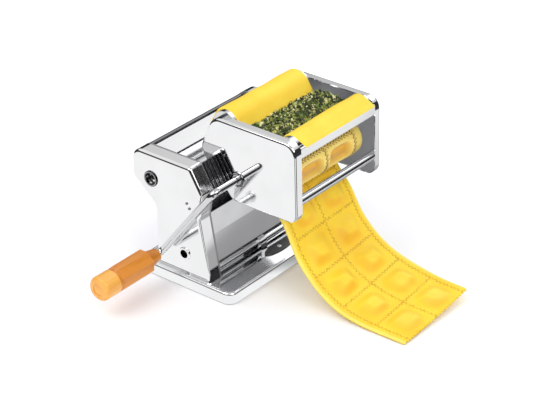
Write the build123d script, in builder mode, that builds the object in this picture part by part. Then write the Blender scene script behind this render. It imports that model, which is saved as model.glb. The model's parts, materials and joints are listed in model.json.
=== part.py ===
from build123d import *
import os
from math import acos, atan2, cos, degrees, hypot, radians, sin

# Hand cranked ravioli maker: a roller machine with a ravioli attachment on its front edge.
# Millimetres. Origin at the centre of the base's underside, +Z up, +X towards where the
# ravioli come out. The near side, with the crank, is -Y and the far side is +Y.

# ---------------------------------------------------------------- driving dimensions
sheet = 1.0                  # wall of every drawn steel shell
running_gap = 0.05           # radial clearance of a shaft in its bore
seat_gap = 0.02              # between a ring and the hole that it is pressed into
loose_gap = 0.3              # between pieces that move past each other

base_length = 120.0          # along X
base_side_margin = 5.5       # from each side cover to the base's edge
base_height = 13.0
base_corner = 10.0
base_edge_round = 3.0
base_lift = 1.0              # the tray's walls end this far above the table
base_rim = 4.0               # width of the raised rim
base_recess = 1.0            # depth of the floor inside the rim
floor_thickness = 3.0
floor_gap = 0.3              # between the closing floor and the tray's walls
boss_radius = 4.0
screw_head_radius = 2.6
screw_head_height = 1.4
screw_shank_radius = 1.5
screw_shank_length = 6.0
front_screw_x = 38.0
front_screw_y = 8.0
rear_screw_x = -49.0
rear_screw_inset = 33.5      # from the base's side edge

machine_width = 180.0        # over the outer faces of the side covers
housing_depth = 18.0         # side cover and inner frame together
frame_thickness = 2.5
cover_edge_round = 3.0
top_over_rollers = 27.0      # heights on the housing, from the smooth rollers' axes
housing_top_front = 6.2      # X of the upper end of the sloped front edge
housing_nose_x = 21.3        # X of the lower end of the sloped front edge
nose_over_rollers = 2.0
housing_waist_x = 16.7
waist_under_rollers = 25.5
housing_foot_front = 29.4
housing_back = -67.0
chin_under_rollers = 3.5
housing_foot_back = -38.0
knee_under_rollers = 28.0

tongue_reach = 4.0           # how far the frame's guide edge stands out of the slope
ledge_reach = 9.0            # the stop below the guide edge
ledge_height = 3.0
ledge_root = 6.0

roller_radius = 14.5         # smooth rollers of the machine
rear_roller_x = -43.0
roller_height = 92.0         # axes above the base's floor
journal_radius = 5.0
bush_wall = 2.0
bush_length = 5.0
near_journal_inset = 4.0     # from the near cover's face to the rear journal's end
journal_past_gear = 1.0
socket_depth = 16.0
gear_teeth = 20              # of every gear, a multiple of four
tooth_tip = 0.85             # tooth sizes as shares of the gear's module
tooth_root = 1.15
tooth_sink = 1.4
tooth_tip_half = 0.36
tooth_root_half = 0.82
smooth_gear_width = 6.0
gear_frame_gap = 2.5         # from the far frame to the smooth rollers' gears
gap_travel = 2.0             # how far the thickness knob moves the front roller
block_size = 16.0
scraper_thickness = 0.8
scraper_reach_x = 5.5
scraper_reach_z = 9.0

knob_x = -14.0
knob_drop = 32.0             # knob's axis below the rollers' axes
knob_radius = 15.0
knob_skirt_radius = 17.0
knob_skirt = 3.0
knob_height = 15.0
knob_flutes = 12
knob_flute_radius = 2.0
knob_pull = 4.0
knob_shaft_radius = 4.0
knob_shaft_inset = 7.0       # how far the shaft reaches inside the far frame
knob_collar_radius = 7.0
knob_collar_width = 2.0

front_tie_radius = 5.0
front_tie_x = 23.1
front_tie_height = 6.5
tie_radius = 4.0
rear_tie_x = -31.0
rear_tie_height = 12.0
upper_tie_x = -61.0
upper_tie_over_rollers = 11.0
stud_radius = 2.0
stud_length = 4.5
nut_across = 7.0             # across flats
nut_height = 3.5
clamp_slot_length = 24.0
clamp_slot_width = 4.5
clamp_slot_y = -25.0
saddle_radius = 7.5
saddle_width = 9.0
saddle_y = -6.5
clamp_plate_thickness = 1.2
clamp_plate_length = 44.0
clamp_plate_width = 13.0
clamp_plate_y = 8.0

front_sheet_top = 65.0       # above the base's floor
front_sheet_crease = 43.5
front_sheet_bottom = 15.0
front_sheet_inset = 2.3      # behind the covers' front edge
rear_sheet_top = 60.0
rear_sheet_inset = 2.0

guide_lip_x = -61.5
lip_over_rollers = 21.6
guide_foot_x = -39.0
foot_over_rollers = 15.4
guide_lip_radius = 2.7

crank_hole_radius = 6.0
ring_sleeve = 1.0
ring_flange = 2.3
ring_height = 1.4
ring_depth = 2.6
lower_hole_x = -2.0
lower_hole_height = 23.0
lower_hole_radius = 4.5

mould_radius = 19.0          # over the mould rollers' cutting ridges
mould_gap = 0.6              # between the two mould rollers
mould_tilt = 13.3            # the front mould roller's axis is higher, degrees
mould_columns = 2
mould_rows = 3
mould_margin = 12.3          # from the outer cuts to the roller's ends
mould_end_gap = 0.7
mould_end_round = 2.0
mould_ridge = 45.0           # angle of one of the front roller's ridges
pocket_depth = 6.0
pocket_round = 2.5
ridge_width = 6.5            # between pockets, along Y
pocket_length = 30.0         # round the roller
mould_shaft_radius = 4.5
drive_shaft_radius = 5.4     # the rear mould shaft's near end, which holds the crank
mould_gear_width = 4.0
nip_from_slope_x = 48.05     # from the middle of the sloped front edge
nip_from_slope_z = 6.5

near_cap_depth = 9.6
far_cap_depth = 8.5
near_cap_inset = 9.2         # from the near frame to the near cap's outer face
cap_edge_round = 2.5
plate_thickness = 2.0
# cap outline from the nip: X, Z, corner radius
cap_outline = [
    (-64.8, 17.0, 9.0),
    (-49.8, 52.0, 15.0),
    (49.2, 52.0, 13.0),
    (51.7, -30.5, 10.0),
    (-25.8, -30.5, 15.0),
    (-59.8, 6.0, 9.0),
]

bar_thickness = 2.6          # flat upper front bar
bar_height = 11.0
bar_x = 47.8                 # bars' centres from the nip
bar_top = 46.1
front_rod_radius = 4.5
front_rod_x = 46.2
front_rod_z = -10.8
rear_rod_radius = 2.6
rear_rod_x = -21.8
rear_rod_z = -26.0
rear_bar_radius = 13.5       # round bar that the rear dough sheet hangs over
rear_bar_x = -42.0
rear_bar_z = 42.5
front_bar_radius = 9.5
front_bar_x = 35.2
front_bar_z = 43.5
bar_wall = 1.2

rail_thickness = 8.0         # rails that slide over the frames' guide edges
rail_overlap = 5.5           # how far a rail reaches past the frame
rail_groove = 1.6            # ribs of the rail
rail_ribs = 3

crank_radius = 3.75
crank_square = 5.2
crank_square_length = 12.0
crank_insert = 18.4          # how deep the crank goes in behind the bushing's face
crank_reach = 35.8           # from the near cap's face to the middle of the crank's arm
crank_arm_x = -67.5
crank_arm_z = -87.6
crank_bend = 7.0
bushing_wall = 1.2
bushing_flange = 1.2
bushing_height = 1.6

handle_start = 8.0           # from the arm to the neck
neck_length = 17.0
neck_small_radius = 6.6
neck_large_radius = 9.6
grip_length = 43.0
grip_across = 24.5           # across the flats of the faceted body
grip_facets = 8
grip_round = 1.2
collar_length = 4.0
collar_radius = 11.2
end_cap_length = 19.0
end_cap_radius = 12.6
end_cap_round = 4.0
end_dimple_radius = 6.5
end_dimple_depth = 1.0
retainer_radius = 6.0
retainer_height = 2.0
retainer_room = 1.0

dough_thickness = 1.8
dough_inset = 2.5            # from the mould rollers' ends to the sheets' edges
dough_nip_height = 12.0      # the sheets end this far above the nip
rear_dough_wrap = 150.0      # angle on the rear bar where the sheet leaves it
rear_dough_tail = 15.0
front_dough_over = 3.2       # the front sheet's end, past the flat bar
front_dough_lift = 0.8
filling_top = 43.0           # above the nip
filling_bottom = 14.5
filling_inset = 1.0          # from the sheets' edges to the filling's ends
strip_inset = 5.0            # from the mould rollers' ends to the strip's edges
strip_thickness = 5.0
strip_start = 9.6            # the strip starts this far below the nip
# middle of the ravioli strip further out: X from the nip, Z above the table
strip_route = [
    (9.0, 99.0),
    (24.0, 81.0),
    (45.0, 48.0),
    (72.0, 24.5),
    (118.0, 7.5),
    (167.5, 3.4),
]

rivet_radius = 1.3
rivet_height = 0.7
rivet_step_x = 3.2
rivet_step_z = -4.6
cover_rivet_x = 2.0
cover_rivet_height = 80.0
cap_rivet_x = -38.5
cap_rivet_z = 20.0

# ---------------------------------------------------------------- places worked out from them
seat = base_height - base_recess
cover_face = machine_width / 2
frame_inner = cover_face - housing_depth
frame_outer = frame_inner + frame_thickness
cover_depth = housing_depth - frame_thickness
base_width = machine_width + 2 * base_side_margin
rear_screw_y = base_width / 2 - rear_screw_inset
rollers_z = seat + roller_height
front_roller_x = rear_roller_x + 2 * roller_radius
smooth_gear_start = frame_outer + gear_frame_gap
far_journal_end = smooth_gear_start + smooth_gear_width + journal_past_gear
near_journal_end = cover_face - near_journal_inset

slope_top = (housing_top_front, rollers_z + top_over_rollers)
slope_end = (housing_nose_x, rollers_z + nose_over_rollers)
slope_length = hypot(slope_end[0] - slope_top[0], slope_end[1] - slope_top[1])
slope_down = (
    (slope_end[0] - slope_top[0]) / slope_length,
    (slope_end[1] - slope_top[1]) / slope_length,
)
slope_out = (-slope_down[1], slope_down[0])

nip_x = (slope_top[0] + slope_end[0]) / 2 + nip_from_slope_x
nip_z = (slope_top[1] + slope_end[1]) / 2 + nip_from_slope_z
tilt_x = cos(radians(mould_tilt))
tilt_z = sin(radians(mould_tilt))
half_centres = mould_radius + mould_gap / 2
rear_mould = (nip_x - half_centres * tilt_x, nip_z - half_centres * tilt_z)
front_mould = (nip_x + half_centres * tilt_x, nip_z + half_centres * tilt_z)
near_cap_face = near_cap_inset - frame_inner
far_cap_face = frame_inner - loose_gap
plate_near = near_cap_face + near_cap_depth
plate_far = far_cap_face - far_cap_depth
clear_width = plate_far - plate_near
clear_middle = (plate_far + plate_near) / 2
mould_length = clear_width - 2 * mould_end_gap
mould_pitch = (mould_length - 2 * mould_margin) / mould_columns
dough_width = mould_length - 2 * dough_inset
filling_width = dough_width - 2 * filling_inset
strip_width = mould_length - 2 * strip_inset
crank_plane = crank_reach - near_cap_face


def across(y):
    """XZ workplane at this Y; what is extruded from it runs towards -Y."""
    return Plane.XZ.offset(-y)


def on_slope(along, out):
    """XZ point this far down the housing's sloped front edge and this far out of it."""
    return (
        slope_top[0] + slope_down[0] * along + slope_out[0] * out,
        slope_top[1] + slope_down[1] * along + slope_out[1] * out,
    )


def from_nip(x, z):
    """XZ point this far from the nip of the mould rollers."""
    return (nip_x + x, nip_z + z)


def round_corners(outline):
    """Face inside a polygon of X, Z, corner radius."""
    with BuildSketch() as face:
        with BuildLine():
            FilletPolyline(*[row[:2] for row in outline], radius=[row[2] for row in outline], close=True)
        make_face()
    return face.sketch


def ribbon(points, thickness):
    """Face of even thickness along straight runs."""
    with BuildSketch() as face:
        with BuildLine():
            Polyline(*points)
        trace(line_width=thickness)
    return face.sketch


def gear_face(pitch_radius, turn):
    """Gear with plain tapered teeth, turned by an angle in degrees."""
    module = 2 * pitch_radius / gear_teeth
    foot = pitch_radius - tooth_sink * module
    tip = pitch_radius + tooth_tip * module
    tooth = [
        (foot, -tooth_root_half * module),
        (tip, -tooth_tip_half * module),
        (tip, tooth_tip_half * module),
        (foot, tooth_root_half * module),
    ]
    with BuildSketch() as face:
        Circle(pitch_radius - tooth_root * module)
        with PolarLocations(0, gear_teeth, start_angle=turn):
            Polygon(*tooth, align=None)
    return face.sketch


def tangent_angle(centre, radius, point, side):
    """Angle on a circle where the line from a point touches it; side is 1 or -1."""
    far = hypot(point[0] - centre[0], point[1] - centre[1])
    towards = degrees(atan2(point[1] - centre[1], point[0] - centre[0]))
    return (towards + side * degrees(acos(radius / far))) % 360


def on_circle(centre, radius, angle):
    """XZ point on a circle at an angle in degrees."""
    return (centre[0] + radius * cos(radians(angle)), centre[1] + radius * sin(radians(angle)))


# ---------------------------------------------------------------- outlines that pieces share
housing_outline = [
    (housing_foot_front, seat, 0.0),
    (housing_waist_x, rollers_z - waist_under_rollers, 14.0),
    (*slope_end, 4.0),
    (*slope_top, 4.0),
    (housing_back, rollers_z + top_over_rollers, 11.0),
    (housing_back, rollers_z - chin_under_rollers, 8.0),
    (housing_foot_back, rollers_z - knee_under_rollers, 14.0),
    (housing_foot_back, seat, 0.0),
]
housing_face = round_corners(housing_outline)
cap_face = round_corners([(nip_x + x, nip_z + z, radius) for x, z, radius in cap_outline])
guide_edge = [
    on_slope(0, -tongue_reach),
    on_slope(0, tongue_reach),
    on_slope(slope_length, tongue_reach),
    on_slope(slope_length, ledge_reach),
    on_slope(slope_length + ledge_height, ledge_reach),
    on_slope(slope_length + ledge_height, -ledge_root),
]
cover_hole = crank_hole_radius + ring_sleeve + seat_gap
grommet_hole = lower_hole_radius + ring_sleeve + seat_gap
crank_hole_at = (rear_roller_x, rollers_z)
lower_hole_at = (lower_hole_x, seat + lower_hole_height)
knob_at = (knob_x, rollers_z - knob_drop)
tie_places = [
    (front_tie_x, seat + front_tie_height),
    (rear_tie_x, seat + rear_tie_height),
    (upper_tie_x, rollers_z + upper_tie_over_rollers),
]
front_tie_at, rear_tie_at, upper_tie_at = tie_places
base_screw_places = [
    (front_screw_x, front_screw_y),
    (rear_screw_x, rear_screw_y),
    (rear_screw_x, -rear_screw_y),
]

# ---------------------------------------------------------------- base
with BuildPart() as base_tray:
    with BuildSketch(Plane.XY.offset(base_lift)):
        RectangleRounded(base_length, base_width, base_corner)
    extrude(amount=base_height - base_lift)
    fillet(base_tray.edges().group_by(Axis.Z)[-1], base_edge_round)
    with BuildSketch(Plane.XY.offset(seat)):
        RectangleRounded(base_length - 2 * base_rim, base_width - 2 * base_rim, base_corner - base_rim)
    extrude(amount=base_recess, mode=Mode.SUBTRACT)
    with BuildSketch(Plane.XY.offset(base_lift)):
        RectangleRounded(base_length - 2 * sheet, base_width - 2 * sheet, base_corner - sheet)
    extrude(amount=seat - sheet - base_lift, mode=Mode.SUBTRACT)
    with BuildSketch(Plane.XY.offset(seat - sheet)):
        with Locations(*base_screw_places):
            Circle(screw_shank_radius + running_gap)
    extrude(amount=sheet, mode=Mode.SUBTRACT)

with BuildPart() as base_floor:
    inset = sheet + floor_gap
    with BuildSketch():
        RectangleRounded(base_length - 2 * inset, base_width - 2 * inset, base_corner - inset)
    extrude(amount=floor_thickness)
    with BuildSketch(Plane.XY.offset(floor_thickness)):
        with Locations(*base_screw_places):
            Circle(boss_radius)
        with GridLocations(base_length - 4 * base_corner, base_width - 4 * base_corner, 2, 2):
            Circle(boss_radius)
    extrude(amount=seat - sheet - floor_thickness)
    with BuildSketch(Plane.XY.offset(seat - sheet - screw_shank_length)):
        with Locations(*base_screw_places):
            Circle(screw_shank_radius + running_gap)
    extrude(amount=screw_shank_length, mode=Mode.SUBTRACT)

with BuildPart() as base_screws:
    with BuildSketch(Plane.XY.offset(seat)):
        with Locations(*base_screw_places):
            Circle(screw_head_radius)
    extrude(amount=screw_head_height)
    fillet(base_screws.edges().group_by(Axis.Z)[-1], screw_head_height * 0.6)
    with BuildSketch(Plane.XY.offset(seat)):
        with Locations(*base_screw_places):
            Circle(screw_shank_radius)
    extrude(amount=running_gap - sheet - screw_shank_length)

# ---------------------------------------------------------------- side covers
with BuildPart() as near_side_cover:
    with BuildSketch(across(-frame_outer)):
        add(housing_face)
    extrude(amount=cover_depth)
    rim = near_side_cover.faces().sort_by(Axis.Y)[0].edges().group_by(Axis.Z)[1:]
    fillet([edge for group in rim for edge in group], cover_edge_round)
    offset(amount=-sheet, openings=near_side_cover.faces().sort_by(Axis.Y)[-1])
    with BuildSketch(across(-cover_face + 2 * sheet)):
        with Locations(crank_hole_at):
            Circle(cover_hole)
        with Locations(lower_hole_at):
            Circle(grommet_hole)
    extrude(amount=3 * sheet, mode=Mode.SUBTRACT)

with BuildPart() as far_side_cover:
    with BuildSketch(across(cover_face)):
        add(housing_face)
    extrude(amount=cover_depth)
    rim = far_side_cover.faces().sort_by(Axis.Y)[-1].edges().group_by(Axis.Z)[1:]
    fillet([edge for group in rim for edge in group], cover_edge_round)
    offset(amount=-sheet, openings=far_side_cover.faces().sort_by(Axis.Y)[0])
    with BuildSketch(across(cover_face + sheet)):
        with Locations(knob_at):
            Circle(knob_shaft_radius + running_gap)
    extrude(amount=3 * sheet, mode=Mode.SUBTRACT)

with BuildPart() as crank_hole_ring:
    with BuildSketch(across(-cover_face + ring_depth)):
        with Locations(crank_hole_at):
            Circle(crank_hole_radius + ring_sleeve)
    extrude(amount=ring_depth)
    with BuildSketch(across(-cover_face)):
        with Locations(crank_hole_at):
            Circle(crank_hole_radius + ring_flange)
    extrude(amount=ring_height)
    fillet(crank_hole_ring.faces().sort_by(Axis.Y)[0].edges(), ring_height * 0.6)
    with BuildSketch(across(-cover_face + ring_depth)):
        with Locations(crank_hole_at):
            Circle(crank_hole_radius)
    extrude(amount=ring_depth + ring_height, mode=Mode.SUBTRACT)

with BuildPart() as lower_hole_grommet:
    with BuildSketch(across(-cover_face + ring_depth)):
        with Locations(lower_hole_at):
            Circle(lower_hole_radius + ring_sleeve)
    extrude(amount=ring_depth)
    with BuildSketch(across(-cover_face)):
        with Locations(lower_hole_at):
            Circle(lower_hole_radius + ring_flange)
    extrude(amount=ring_height)
    fillet(lower_hole_grommet.faces().sort_by(Axis.Y)[0].edges(), ring_height * 0.6)
    with BuildSketch(across(-cover_face + ring_depth)):
        with Locations(lower_hole_at):
            Circle(lower_hole_radius)
    extrude(amount=ring_depth + ring_height, mode=Mode.SUBTRACT)

with BuildPart() as cover_rivets:
    rivet_x, rivet_z = cover_rivet_x, seat + cover_rivet_height
    with BuildSketch(across(-cover_face)):
        with Locations((rivet_x, rivet_z), (rivet_x + rivet_step_x, rivet_z + rivet_step_z)):
            Circle(rivet_radius)
    extrude(amount=rivet_height)
    with BuildSketch(across(cover_face + rivet_height)):
        with Locations((rivet_x, rivet_z), (rivet_x + rivet_step_x, rivet_z + rivet_step_z)):
            Circle(rivet_radius)
    extrude(amount=rivet_height)

# ---------------------------------------------------------------- inner frames
bush_hole = journal_radius + bush_wall
slot_length = block_size + gap_travel + 2 * loose_gap
slot_height = block_size + 2 * loose_gap
slot_middle = (front_roller_x + gap_travel / 2, rollers_z)

with BuildPart() as near_inner_frame:
    with BuildSketch(across(-frame_inner)):
        add(housing_face)
        Polygon(*guide_edge, align=None)
        with Locations(crank_hole_at):
            Circle(bush_hole + seat_gap, mode=Mode.SUBTRACT)
        with Locations(slot_middle):
            Rectangle(slot_length, slot_height, mode=Mode.SUBTRACT)
        with Locations(*tie_places):
            Circle(stud_radius + seat_gap, mode=Mode.SUBTRACT)
    extrude(amount=frame_thickness)

with BuildPart() as far_inner_frame:
    with BuildSketch(across(frame_outer)):
        add(housing_face)
        Polygon(*guide_edge, align=None)
        with Locations(crank_hole_at):
            Circle(bush_hole + seat_gap, mode=Mode.SUBTRACT)
        with Locations(slot_middle):
            Rectangle(slot_length, slot_height, mode=Mode.SUBTRACT)
        with Locations(*tie_places):
            Circle(stud_radius + seat_gap, mode=Mode.SUBTRACT)
        with Locations(knob_at):
            Circle(knob_shaft_radius + running_gap, mode=Mode.SUBTRACT)
    extrude(amount=frame_thickness)

with BuildPart() as roller_bushes:
    with BuildSketch(across(-frame_inner)):
        with Locations(crank_hole_at):
            Circle(bush_hole)
            Circle(journal_radius + running_gap, mode=Mode.SUBTRACT)
    extrude(amount=bush_length)
    with BuildSketch(across(frame_inner + bush_length)):
        with Locations(crank_hole_at):
            Circle(bush_hole)
            Circle(journal_radius + running_gap, mode=Mode.SUBTRACT)
    extrude(amount=bush_length)

# ---------------------------------------------------------------- tie rods, their nuts, clamp socket
with BuildPart() as front_tie_rod:
    with BuildSketch(across(frame_inner)):
        with Locations(front_tie_at):
            Circle(front_tie_radius)
    extrude(amount=2 * frame_inner)
    with BuildSketch(across(frame_inner + frame_thickness + stud_length)):
        with Locations(front_tie_at):
            Circle(stud_radius)
    extrude(amount=2 * (frame_inner + frame_thickness + stud_length))
    with BuildSketch(Plane.YZ.offset(front_tie_x - front_tie_radius)):
        with Locations((clamp_slot_y, seat + front_tie_height)):
            SlotOverall(clamp_slot_length, clamp_slot_width)
    extrude(amount=2 * front_tie_radius, mode=Mode.SUBTRACT)

with BuildPart() as rear_tie_rods:
    with BuildSketch(across(frame_inner)):
        with Locations(rear_tie_at, upper_tie_at):
            Circle(tie_radius)
    extrude(amount=2 * frame_inner)
    with BuildSketch(across(frame_inner + frame_thickness + stud_length)):
        with Locations(rear_tie_at, upper_tie_at):
            Circle(stud_radius)
    extrude(amount=2 * (frame_inner + frame_thickness + stud_length))

with BuildPart() as tie_rod_nuts:
    with BuildSketch(across(-frame_outer)):
        with Locations(*tie_places):
            RegularPolygon(nut_across / 2, 6, major_radius=False, rotation=30)
            Circle(stud_radius + seat_gap, mode=Mode.SUBTRACT)
    extrude(amount=nut_height)
    with BuildSketch(across(frame_outer + nut_height)):
        with Locations(*tie_places):
            RegularPolygon(nut_across / 2, 6, major_radius=False, rotation=30)
            Circle(stud_radius + seat_gap, mode=Mode.SUBTRACT)
    extrude(amount=nut_height)

with BuildPart() as clamp_saddle:
    with BuildSketch(across(saddle_y + saddle_width / 2)):
        with Locations(front_tie_at):
            Circle(saddle_radius)
        with Locations((front_tie_x, seat + front_tie_height / 2)):
            Rectangle(2 * saddle_radius, front_tie_height)
        with Locations(front_tie_at):
            Circle(front_tie_radius + seat_gap, mode=Mode.SUBTRACT)
        with Locations((front_tie_x, seat - front_tie_height / 2)):
            Rectangle(4 * saddle_radius, front_tie_height, mode=Mode.SUBTRACT)
    extrude(amount=saddle_width)

with BuildPart() as clamp_plate:
    with BuildSketch(Plane.XY.offset(seat)):
        with Locations((front_screw_x, clamp_plate_y)):
            Ellipse(clamp_plate_width / 2, clamp_plate_length / 2)
        with Locations((front_screw_x, front_screw_y)):
            Circle(screw_head_radius + loose_gap, mode=Mode.SUBTRACT)
    extrude(amount=clamp_plate_thickness)

# ---------------------------------------------------------------- sheets between the frames
waist_run = (housing_foot_front - housing_waist_x) / (roller_height - waist_under_rollers)


def front_edge_x(height):
    """X of the front sheet at a height above the base's floor."""
    return housing_foot_front - waist_run * height - front_sheet_inset


with BuildPart() as front_sheet:
    with BuildSketch(across(frame_inner)):
        crease_x = front_edge_x(front_sheet_crease)
        add(ribbon([
            (front_edge_x(front_sheet_top) - sheet, seat + front_sheet_top),
            (crease_x, seat + front_sheet_crease),
            (front_edge_x(front_sheet_bottom), seat + front_sheet_bottom),
        ], sheet))
    extrude(amount=2 * frame_inner)

with BuildPart() as rear_sheet:
    with BuildSketch(across(frame_inner)):
        with Locations((housing_foot_back + rear_sheet_inset, seat + rear_sheet_top / 2)):
            Rectangle(sheet, rear_sheet_top)
    extrude(amount=2 * frame_inner)

with BuildPart() as dough_guide:
    with BuildSketch(across(frame_inner)):
        guide_lip = (guide_lip_x, rollers_z + lip_over_rollers)
        add(ribbon([guide_lip, (guide_foot_x, rollers_z + foot_over_rollers)], sheet))
        with Locations(guide_lip):
            Circle(guide_lip_radius)
    extrude(amount=2 * frame_inner)

with BuildPart() as roller_scrapers:
    scraper_top = rollers_z - roller_radius - loose_gap - scraper_thickness
    with BuildSketch(across(frame_inner)):
        add(ribbon([
            (rear_roller_x, scraper_top),
            (rear_roller_x + scraper_reach_x, scraper_top - scraper_reach_z),
        ], scraper_thickness))
        add(ribbon([
            (front_roller_x, scraper_top),
            (front_roller_x - scraper_reach_x, scraper_top - scraper_reach_z),
        ], scraper_thickness))
    extrude(amount=2 * frame_inner)

# ---------------------------------------------------------------- smooth rollers and their gears
roller_length = 2 * (frame_inner - loose_gap)

with BuildPart() as rear_smooth_roller:
    with BuildSketch(across(roller_length / 2)):
        with Locations(crank_hole_at):
            Circle(roller_radius)
    extrude(amount=roller_length)
    with BuildSketch(across(far_journal_end)):
        with Locations(crank_hole_at):
            Circle(journal_radius)
    extrude(amount=far_journal_end + near_journal_end)
    with BuildSketch(across(socket_depth - near_journal_end)):
        with Locations(crank_hole_at):
            Rectangle(crank_square + 2 * running_gap, crank_square + 2 * running_gap)
    extrude(amount=socket_depth, mode=Mode.SUBTRACT)

block_journal = journal_radius - 1.0
with BuildPart() as front_smooth_roller:
    with BuildSketch(across(roller_length / 2)):
        with Locations((front_roller_x, rollers_z)):
            Circle(roller_radius)
    extrude(amount=roller_length)
    with BuildSketch(across(far_journal_end)):
        with Locations((front_roller_x, rollers_z)):
            Circle(block_journal)
    extrude(amount=far_journal_end + frame_outer + bush_length)

with BuildPart() as rear_smooth_gear:
    with BuildSketch(across(smooth_gear_start + smooth_gear_width)):
        with Locations(crank_hole_at):
            add(gear_face(roller_radius, 0))
            Circle(journal_radius + seat_gap, mode=Mode.SUBTRACT)
    extrude(amount=smooth_gear_width)

with BuildPart() as front_smooth_gear:
    with BuildSketch(across(smooth_gear_start + smooth_gear_width)):
        with Locations((front_roller_x, rollers_z)):
            add(gear_face(roller_radius, 180 / gear_teeth))
            Circle(block_journal + seat_gap, mode=Mode.SUBTRACT)
    extrude(amount=smooth_gear_width)

with BuildPart() as bearing_blocks:
    with BuildSketch(across(-frame_inner - loose_gap)):
        with Locations((front_roller_x, rollers_z)):
            Rectangle(block_size, block_size)
            Circle(block_journal + running_gap, mode=Mode.SUBTRACT)
    extrude(amount=frame_thickness)
    with BuildSketch(across(frame_inner + loose_gap + frame_thickness)):
        with Locations((front_roller_x, rollers_z)):
            Rectangle(block_size, block_size)
            Circle(block_journal + running_gap, mode=Mode.SUBTRACT)
    extrude(amount=frame_thickness)

# ---------------------------------------------------------------- thickness knob on the far side
knob_seat = cover_face + loose_gap
with BuildPart() as knob_shaft:
    with BuildSketch(across(knob_seat + knob_height / 2)):
        with Locations(knob_at):
            Circle(knob_shaft_radius)
    extrude(amount=knob_seat + knob_height / 2 - frame_inner + knob_shaft_inset)
    with BuildSketch(across(frame_outer + loose_gap + knob_collar_width)):
        with Locations(knob_at):
            Circle(knob_collar_radius)
    extrude(amount=knob_collar_width)

with BuildPart() as thickness_knob:
    with BuildSketch(across(knob_seat + knob_skirt)):
        with Locations(knob_at):
            Circle(knob_skirt_radius)
    extrude(amount=knob_skirt)
    with BuildSketch(across(knob_seat + knob_height)):
        with Locations(knob_at):
            Circle(knob_radius)
            with PolarLocations(knob_radius, knob_flutes):
                Circle(knob_flute_radius, mode=Mode.SUBTRACT)
    extrude(amount=knob_height - knob_skirt)
    chamfer(thickness_knob.faces().sort_by(Axis.Y)[-1].edges(), 0.8)
    with BuildSketch(across(knob_seat + knob_height / 2)):
        with Locations(knob_at):
            Circle(knob_shaft_radius + running_gap)
    extrude(amount=knob_height / 2, mode=Mode.SUBTRACT)

# ---------------------------------------------------------------- attachment: caps and plates
near_sleeve = drive_shaft_radius + running_gap + bushing_wall
plate_inset = sheet + seat_gap
mould_bush_radius = mould_shaft_radius + running_gap + bush_wall
with BuildSketch() as plate_sketch:
    add(cap_face)
    offset(amount=-plate_inset)
plate_face = plate_sketch.sketch

with BuildPart() as near_cap:
    with BuildSketch(across(plate_near)):
        add(cap_face)
    extrude(amount=near_cap_depth)
    fillet(near_cap.faces().sort_by(Axis.Y)[0].edges(), cap_edge_round)
    offset(amount=-sheet, openings=near_cap.faces().sort_by(Axis.Y)[-1])
    with BuildSketch(across(near_cap_face + 2 * sheet)):
        with Locations(rear_mould):
            Circle(near_sleeve + seat_gap)
    extrude(amount=3 * sheet, mode=Mode.SUBTRACT)

with BuildPart() as far_cap:
    with BuildSketch(across(far_cap_face)):
        add(cap_face)
    extrude(amount=far_cap_depth)
    fillet(far_cap.faces().sort_by(Axis.Y)[-1].edges(), cap_edge_round)
    offset(amount=-sheet, openings=far_cap.faces().sort_by(Axis.Y)[0])

with BuildPart() as near_plate:
    with BuildSketch(across(plate_near)):
        add(plate_face)
        with Locations(rear_mould):
            Circle(near_sleeve + seat_gap, mode=Mode.SUBTRACT)
        with Locations(front_mould):
            Circle(mould_bush_radius + seat_gap, mode=Mode.SUBTRACT)
    extrude(amount=plate_thickness)

with BuildPart() as far_plate:
    with BuildSketch(across(plate_far + plate_thickness)):
        add(plate_face)
        with Locations(rear_mould, front_mould):
            Circle(mould_bush_radius + seat_gap, mode=Mode.SUBTRACT)
    extrude(amount=plate_thickness)

with BuildPart() as cap_rivets:
    rivet_at = from_nip(cap_rivet_x, cap_rivet_z)
    rivet_next = from_nip(cap_rivet_x + rivet_step_x, cap_rivet_z + rivet_step_z)
    with BuildSketch(across(near_cap_face)):
        with Locations(rivet_at, rivet_next):
            Circle(rivet_radius)
    extrude(amount=rivet_height)

# ---------------------------------------------------------------- attachment: bushes
with BuildPart() as crank_bushing:
    with BuildSketch(across(plate_near)):
        with Locations(rear_mould):
            Circle(near_sleeve)
    extrude(amount=near_cap_depth)
    with BuildSketch(across(near_cap_face)):
        with Locations(rear_mould):
            Circle(near_sleeve + bushing_flange)
    extrude(amount=bushing_height)
    fillet(crank_bushing.faces().sort_by(Axis.Y)[0].edges(), bushing_height * 0.6)
    with BuildSketch(across(plate_near)):
        with Locations(rear_mould):
            Circle(drive_shaft_radius + running_gap)
    extrude(amount=near_cap_depth + bushing_height, mode=Mode.SUBTRACT)

with BuildPart() as mould_bushes:
    with BuildSketch(across(plate_near)):
        with Locations(front_mould):
            Circle(mould_bush_radius)
            Circle(mould_shaft_radius + running_gap, mode=Mode.SUBTRACT)
    extrude(amount=plate_thickness)
    with BuildSketch(across(plate_far + plate_thickness)):
        with Locations(rear_mould, front_mould):
            Circle(mould_bush_radius)
            Circle(mould_shaft_radius + running_gap, mode=Mode.SUBTRACT)
    extrude(amount=plate_thickness)

# ---------------------------------------------------------------- attachment: bars between the plates
with BuildPart() as upper_front_bar:
    with BuildSketch(across(plate_far)):
        with Locations(from_nip(bar_x, bar_top - bar_height / 2)):
            RectangleRounded(bar_thickness, bar_height, bar_thickness / 3)
    extrude(amount=clear_width)

with BuildPart() as lower_front_rod:
    with BuildSketch(across(plate_far)):
        with Locations(from_nip(front_rod_x, front_rod_z)):
            Circle(front_rod_radius)
    extrude(amount=clear_width)

with BuildPart() as lower_rear_rod:
    with BuildSketch(across(plate_far)):
        with Locations(from_nip(rear_rod_x, rear_rod_z)):
            Circle(rear_rod_radius)
    extrude(amount=clear_width)

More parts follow.
